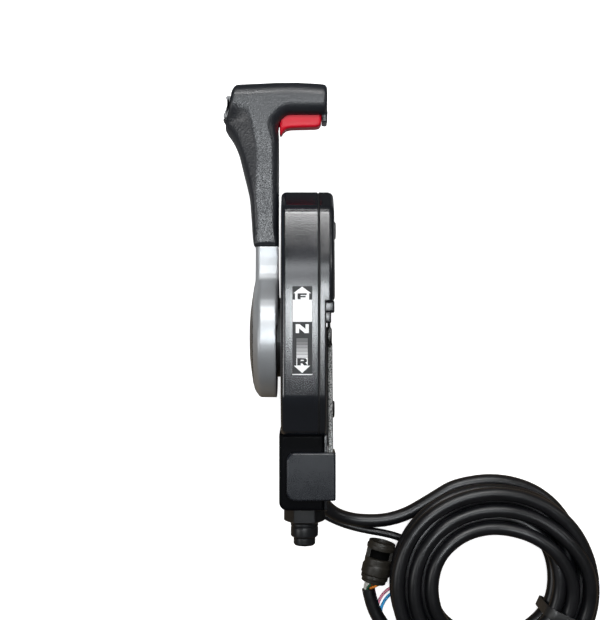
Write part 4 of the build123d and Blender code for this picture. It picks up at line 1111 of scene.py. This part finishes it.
dress("neutral_switch", "electric")
dress("warning_buzzer", "electric")


def coil_spring(name, place, length, radius, wire, turns, body, node):
    pts = []
    n = int(turns * 16)
    for i in range(n + 1):
        q = 2 * math.pi * turns * i / n
        pts.append(place(wire / 2 + (length - wire) * i / n, radius * math.cos(q), radius * math.sin(q)))
    cu = bpy.data.curves.new(name, "CURVE")
    cu.dimensions = "3D"
    s = cu.splines.new("POLY")
    s.points.add(len(pts) - 1)
    for p, q in zip(s.points, pts):
        p.co = (*q, 1.0)
    cu.bevel_depth = wire / 2000
    cu.bevel_resolution = 3
    cu.use_fill_caps = True
    cu.materials.append(M["steel"])
    o = bpy.data.objects.new(name, cu)
    SCENE.collection.objects.link(o)
    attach(o, body)
    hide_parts(node)
    return o


coil_spring("detent_coil_spring", lambda a, r, s: P(11.0 + r, 0.0 + s, -52.0 + a), 14.0, 2.4, 0.9, 6.5, "root", "detent_spring")
coil_spring("trigger_coil_spring", lambda a, r, s: P(4.0 + r, 201.9 + a, 0.0 + s), 3.6, 2.4, 0.7, 3.5, "lever", "trigger_spring")

# tie round the coil: a flat band with rounded corners
TA = math.radians(-25.0)
TR, TT = Vector((math.cos(TA), math.sin(TA), 0)), Vector((-math.sin(TA), math.cos(TA), 0))
TC = T(COIL_C[0], COIL_C[1], 0)


def on_tie(r, z, d):
    return TC + (TR * r + TT * d) / 1000 + Vector((0, 0, z / 1000))


band_out = Outline([(49.2, -0.0), (98.0, -0.0), (98.0, 45.6), (49.2, 45.6)], [6, 6, 10, 10], 10)
band = rings("band", band_out, [(-4.5, 1.1), (-4.5, 0.1), (-4.3, 0.0), (4.3, 0.0), (4.5, 0.1), (4.5, 1.1)], on_tie)
inner = rings("inner", Outline([(50.5, 1.2), (96.8, 1.2), (96.8, 44.3), (50.5, 44.3)], [5, 5, 9, 9], 10), [(-6.0, 1.0), (-6.0, 0.0), (6.0, 0.0), (6.0, 1.0)], on_tie)
band = joined(band, [inner], "DIFFERENCE")
finish_mesh("coil_tie", band, "tie", "root", "cord_tie", 35)

# ---------------------------------------------------------------------------
# Floor and light
# ---------------------------------------------------------------------------
fm = bpy.data.materials.new("floor_pale")
fm.use_nodes = True
FT = fm.node_tree
seen = FT.nodes["Principled BSDF"]
seen.inputs["Base Color"].default_value = (0.93, 0.93, 0.93, 1)
seen.inputs["Roughness"].default_value = 0.9
seen.inputs["Emission Color"].default_value = (1, 1, 1, 1)
seen.inputs["Emission Strength"].default_value = 0.74
# painted reflection and shade: what the part sees of the floor is brighter ahead of it, darker and warmer behind, and
# dark again further ahead; the camera sees only the plain white floor
painted_reflection_floor = FT.nodes.new("ShaderNodeBsdfDiffuse")
geo = FT.nodes.new("ShaderNodeNewGeometry")
axis = FT.nodes.new("ShaderNodeSeparateXYZ")
fade = FT.nodes.new("ShaderNodeMapRange")
fade.inputs["From Min"].default_value = -0.10
fade.inputs["From Max"].default_value = 0.60
tone = FT.nodes.new("ShaderNodeValToRGB")
ramp = tone.color_ramp
ramp.elements[0].position = 0.0
ramp.elements[0].color = (0.22, 0.17, 0.12, 1)
ramp.elements[1].position = 0.30
ramp.elements[1].color = (0.50, 0.50, 0.50, 1)
# dark band further ahead, painted to darken the reflection in the box's nose
painted_dark_reflection = ramp.elements.new(0.40)
painted_dark_reflection.color = (0.06, 0.06, 0.06, 1)
path = FT.nodes.new("ShaderNodeLightPath")
pick = FT.nodes.new("ShaderNodeMixShader")
FT.links.new(geo.outputs["Position"], axis.inputs["Vector"])
FT.links.new(axis.outputs["Y"], fade.inputs["Value"])
FT.links.new(fade.outputs["Result"], tone.inputs["Fac"])
FT.links.new(tone.outputs["Color"], painted_reflection_floor.inputs["Color"])
FT.links.new(path.outputs["Is Camera Ray"], pick.inputs["Fac"])
FT.links.new(painted_reflection_floor.outputs["BSDF"], pick.inputs[1])
FT.links.new(seen.outputs["BSDF"], pick.inputs[2])
FT.links.new(pick.outputs["Shader"], FT.nodes["Material Output"].inputs["Surface"])
fme = bpy.data.meshes.new("floor")
fme.from_pydata([(-6, -6, 0), (6, -6, 0), (6, 6, 0), (-6, 6, 0)], [], [(0, 1, 2, 3)])
floor = bpy.data.objects.new("floor", fme)
floor.data.materials.append(fm)
floor.location = (0, 0, -0.0004)
SCENE.collection.objects.link(floor)


def lamp(name, loc, aim, size, power, color=(1, 1, 1)):
    d = bpy.data.lights.new(name, "AREA")
    d.shape = "RECTANGLE"
    d.size, d.size_y = size
    d.energy = power
    d.color = color
    o = bpy.data.objects.new(name, d)
    o.location = loc
    o.rotation_euler = (Vector(aim) - Vector(loc)).to_track_quat("-Z", "Y").to_euler()
    SCENE.collection.objects.link(o)
    return o


AIM = (0.02, 0.0, 0.1)
COOL = (0.93, 0.97, 1.0)
lamp("overhead", (0.02, 0.045, 2.2), AIM, (0.9, 0.165), 12.4, COOL)
lamp("overhead_wide", (0.02, 0.31, 2.25), AIM, (1.2, 0.36), 4.6, COOL)
lamp("forward_panel", (0.0, 0.70, 2.10), AIM, (1.1, 0.30), 5.0, COOL)
lamp("forward_strip", (0.05, 1.56, 1.72), AIM, (1.5, 0.28), 25.0)
lamp("far_strip", (0.0, 1.85, 1.02), AIM, (1.4, 0.12), 5.0)
lamp("left_strip", (-1.25, 0.0, 1.6), AIM, (0.12, 0.8), 2.6)
lamp("left_fill", (-1.9, -0.3, 1.5), AIM, (0.35, 0.8), 6.0)
lamp("right_fill", (1.8, 1.0, 1.6), AIM, (0.5, 0.5), 3.5)
world = bpy.data.worlds.new("studio")
world.use_nodes = True
world.node_tree.nodes["Background"].inputs["Color"].default_value = (1, 1, 1, 1)
world.node_tree.nodes["Background"].inputs["Strength"].default_value = 0.09
SCENE.world = world
SCENE.view_settings.view_transform = "Standard"
SCENE.view_settings.look = "None"
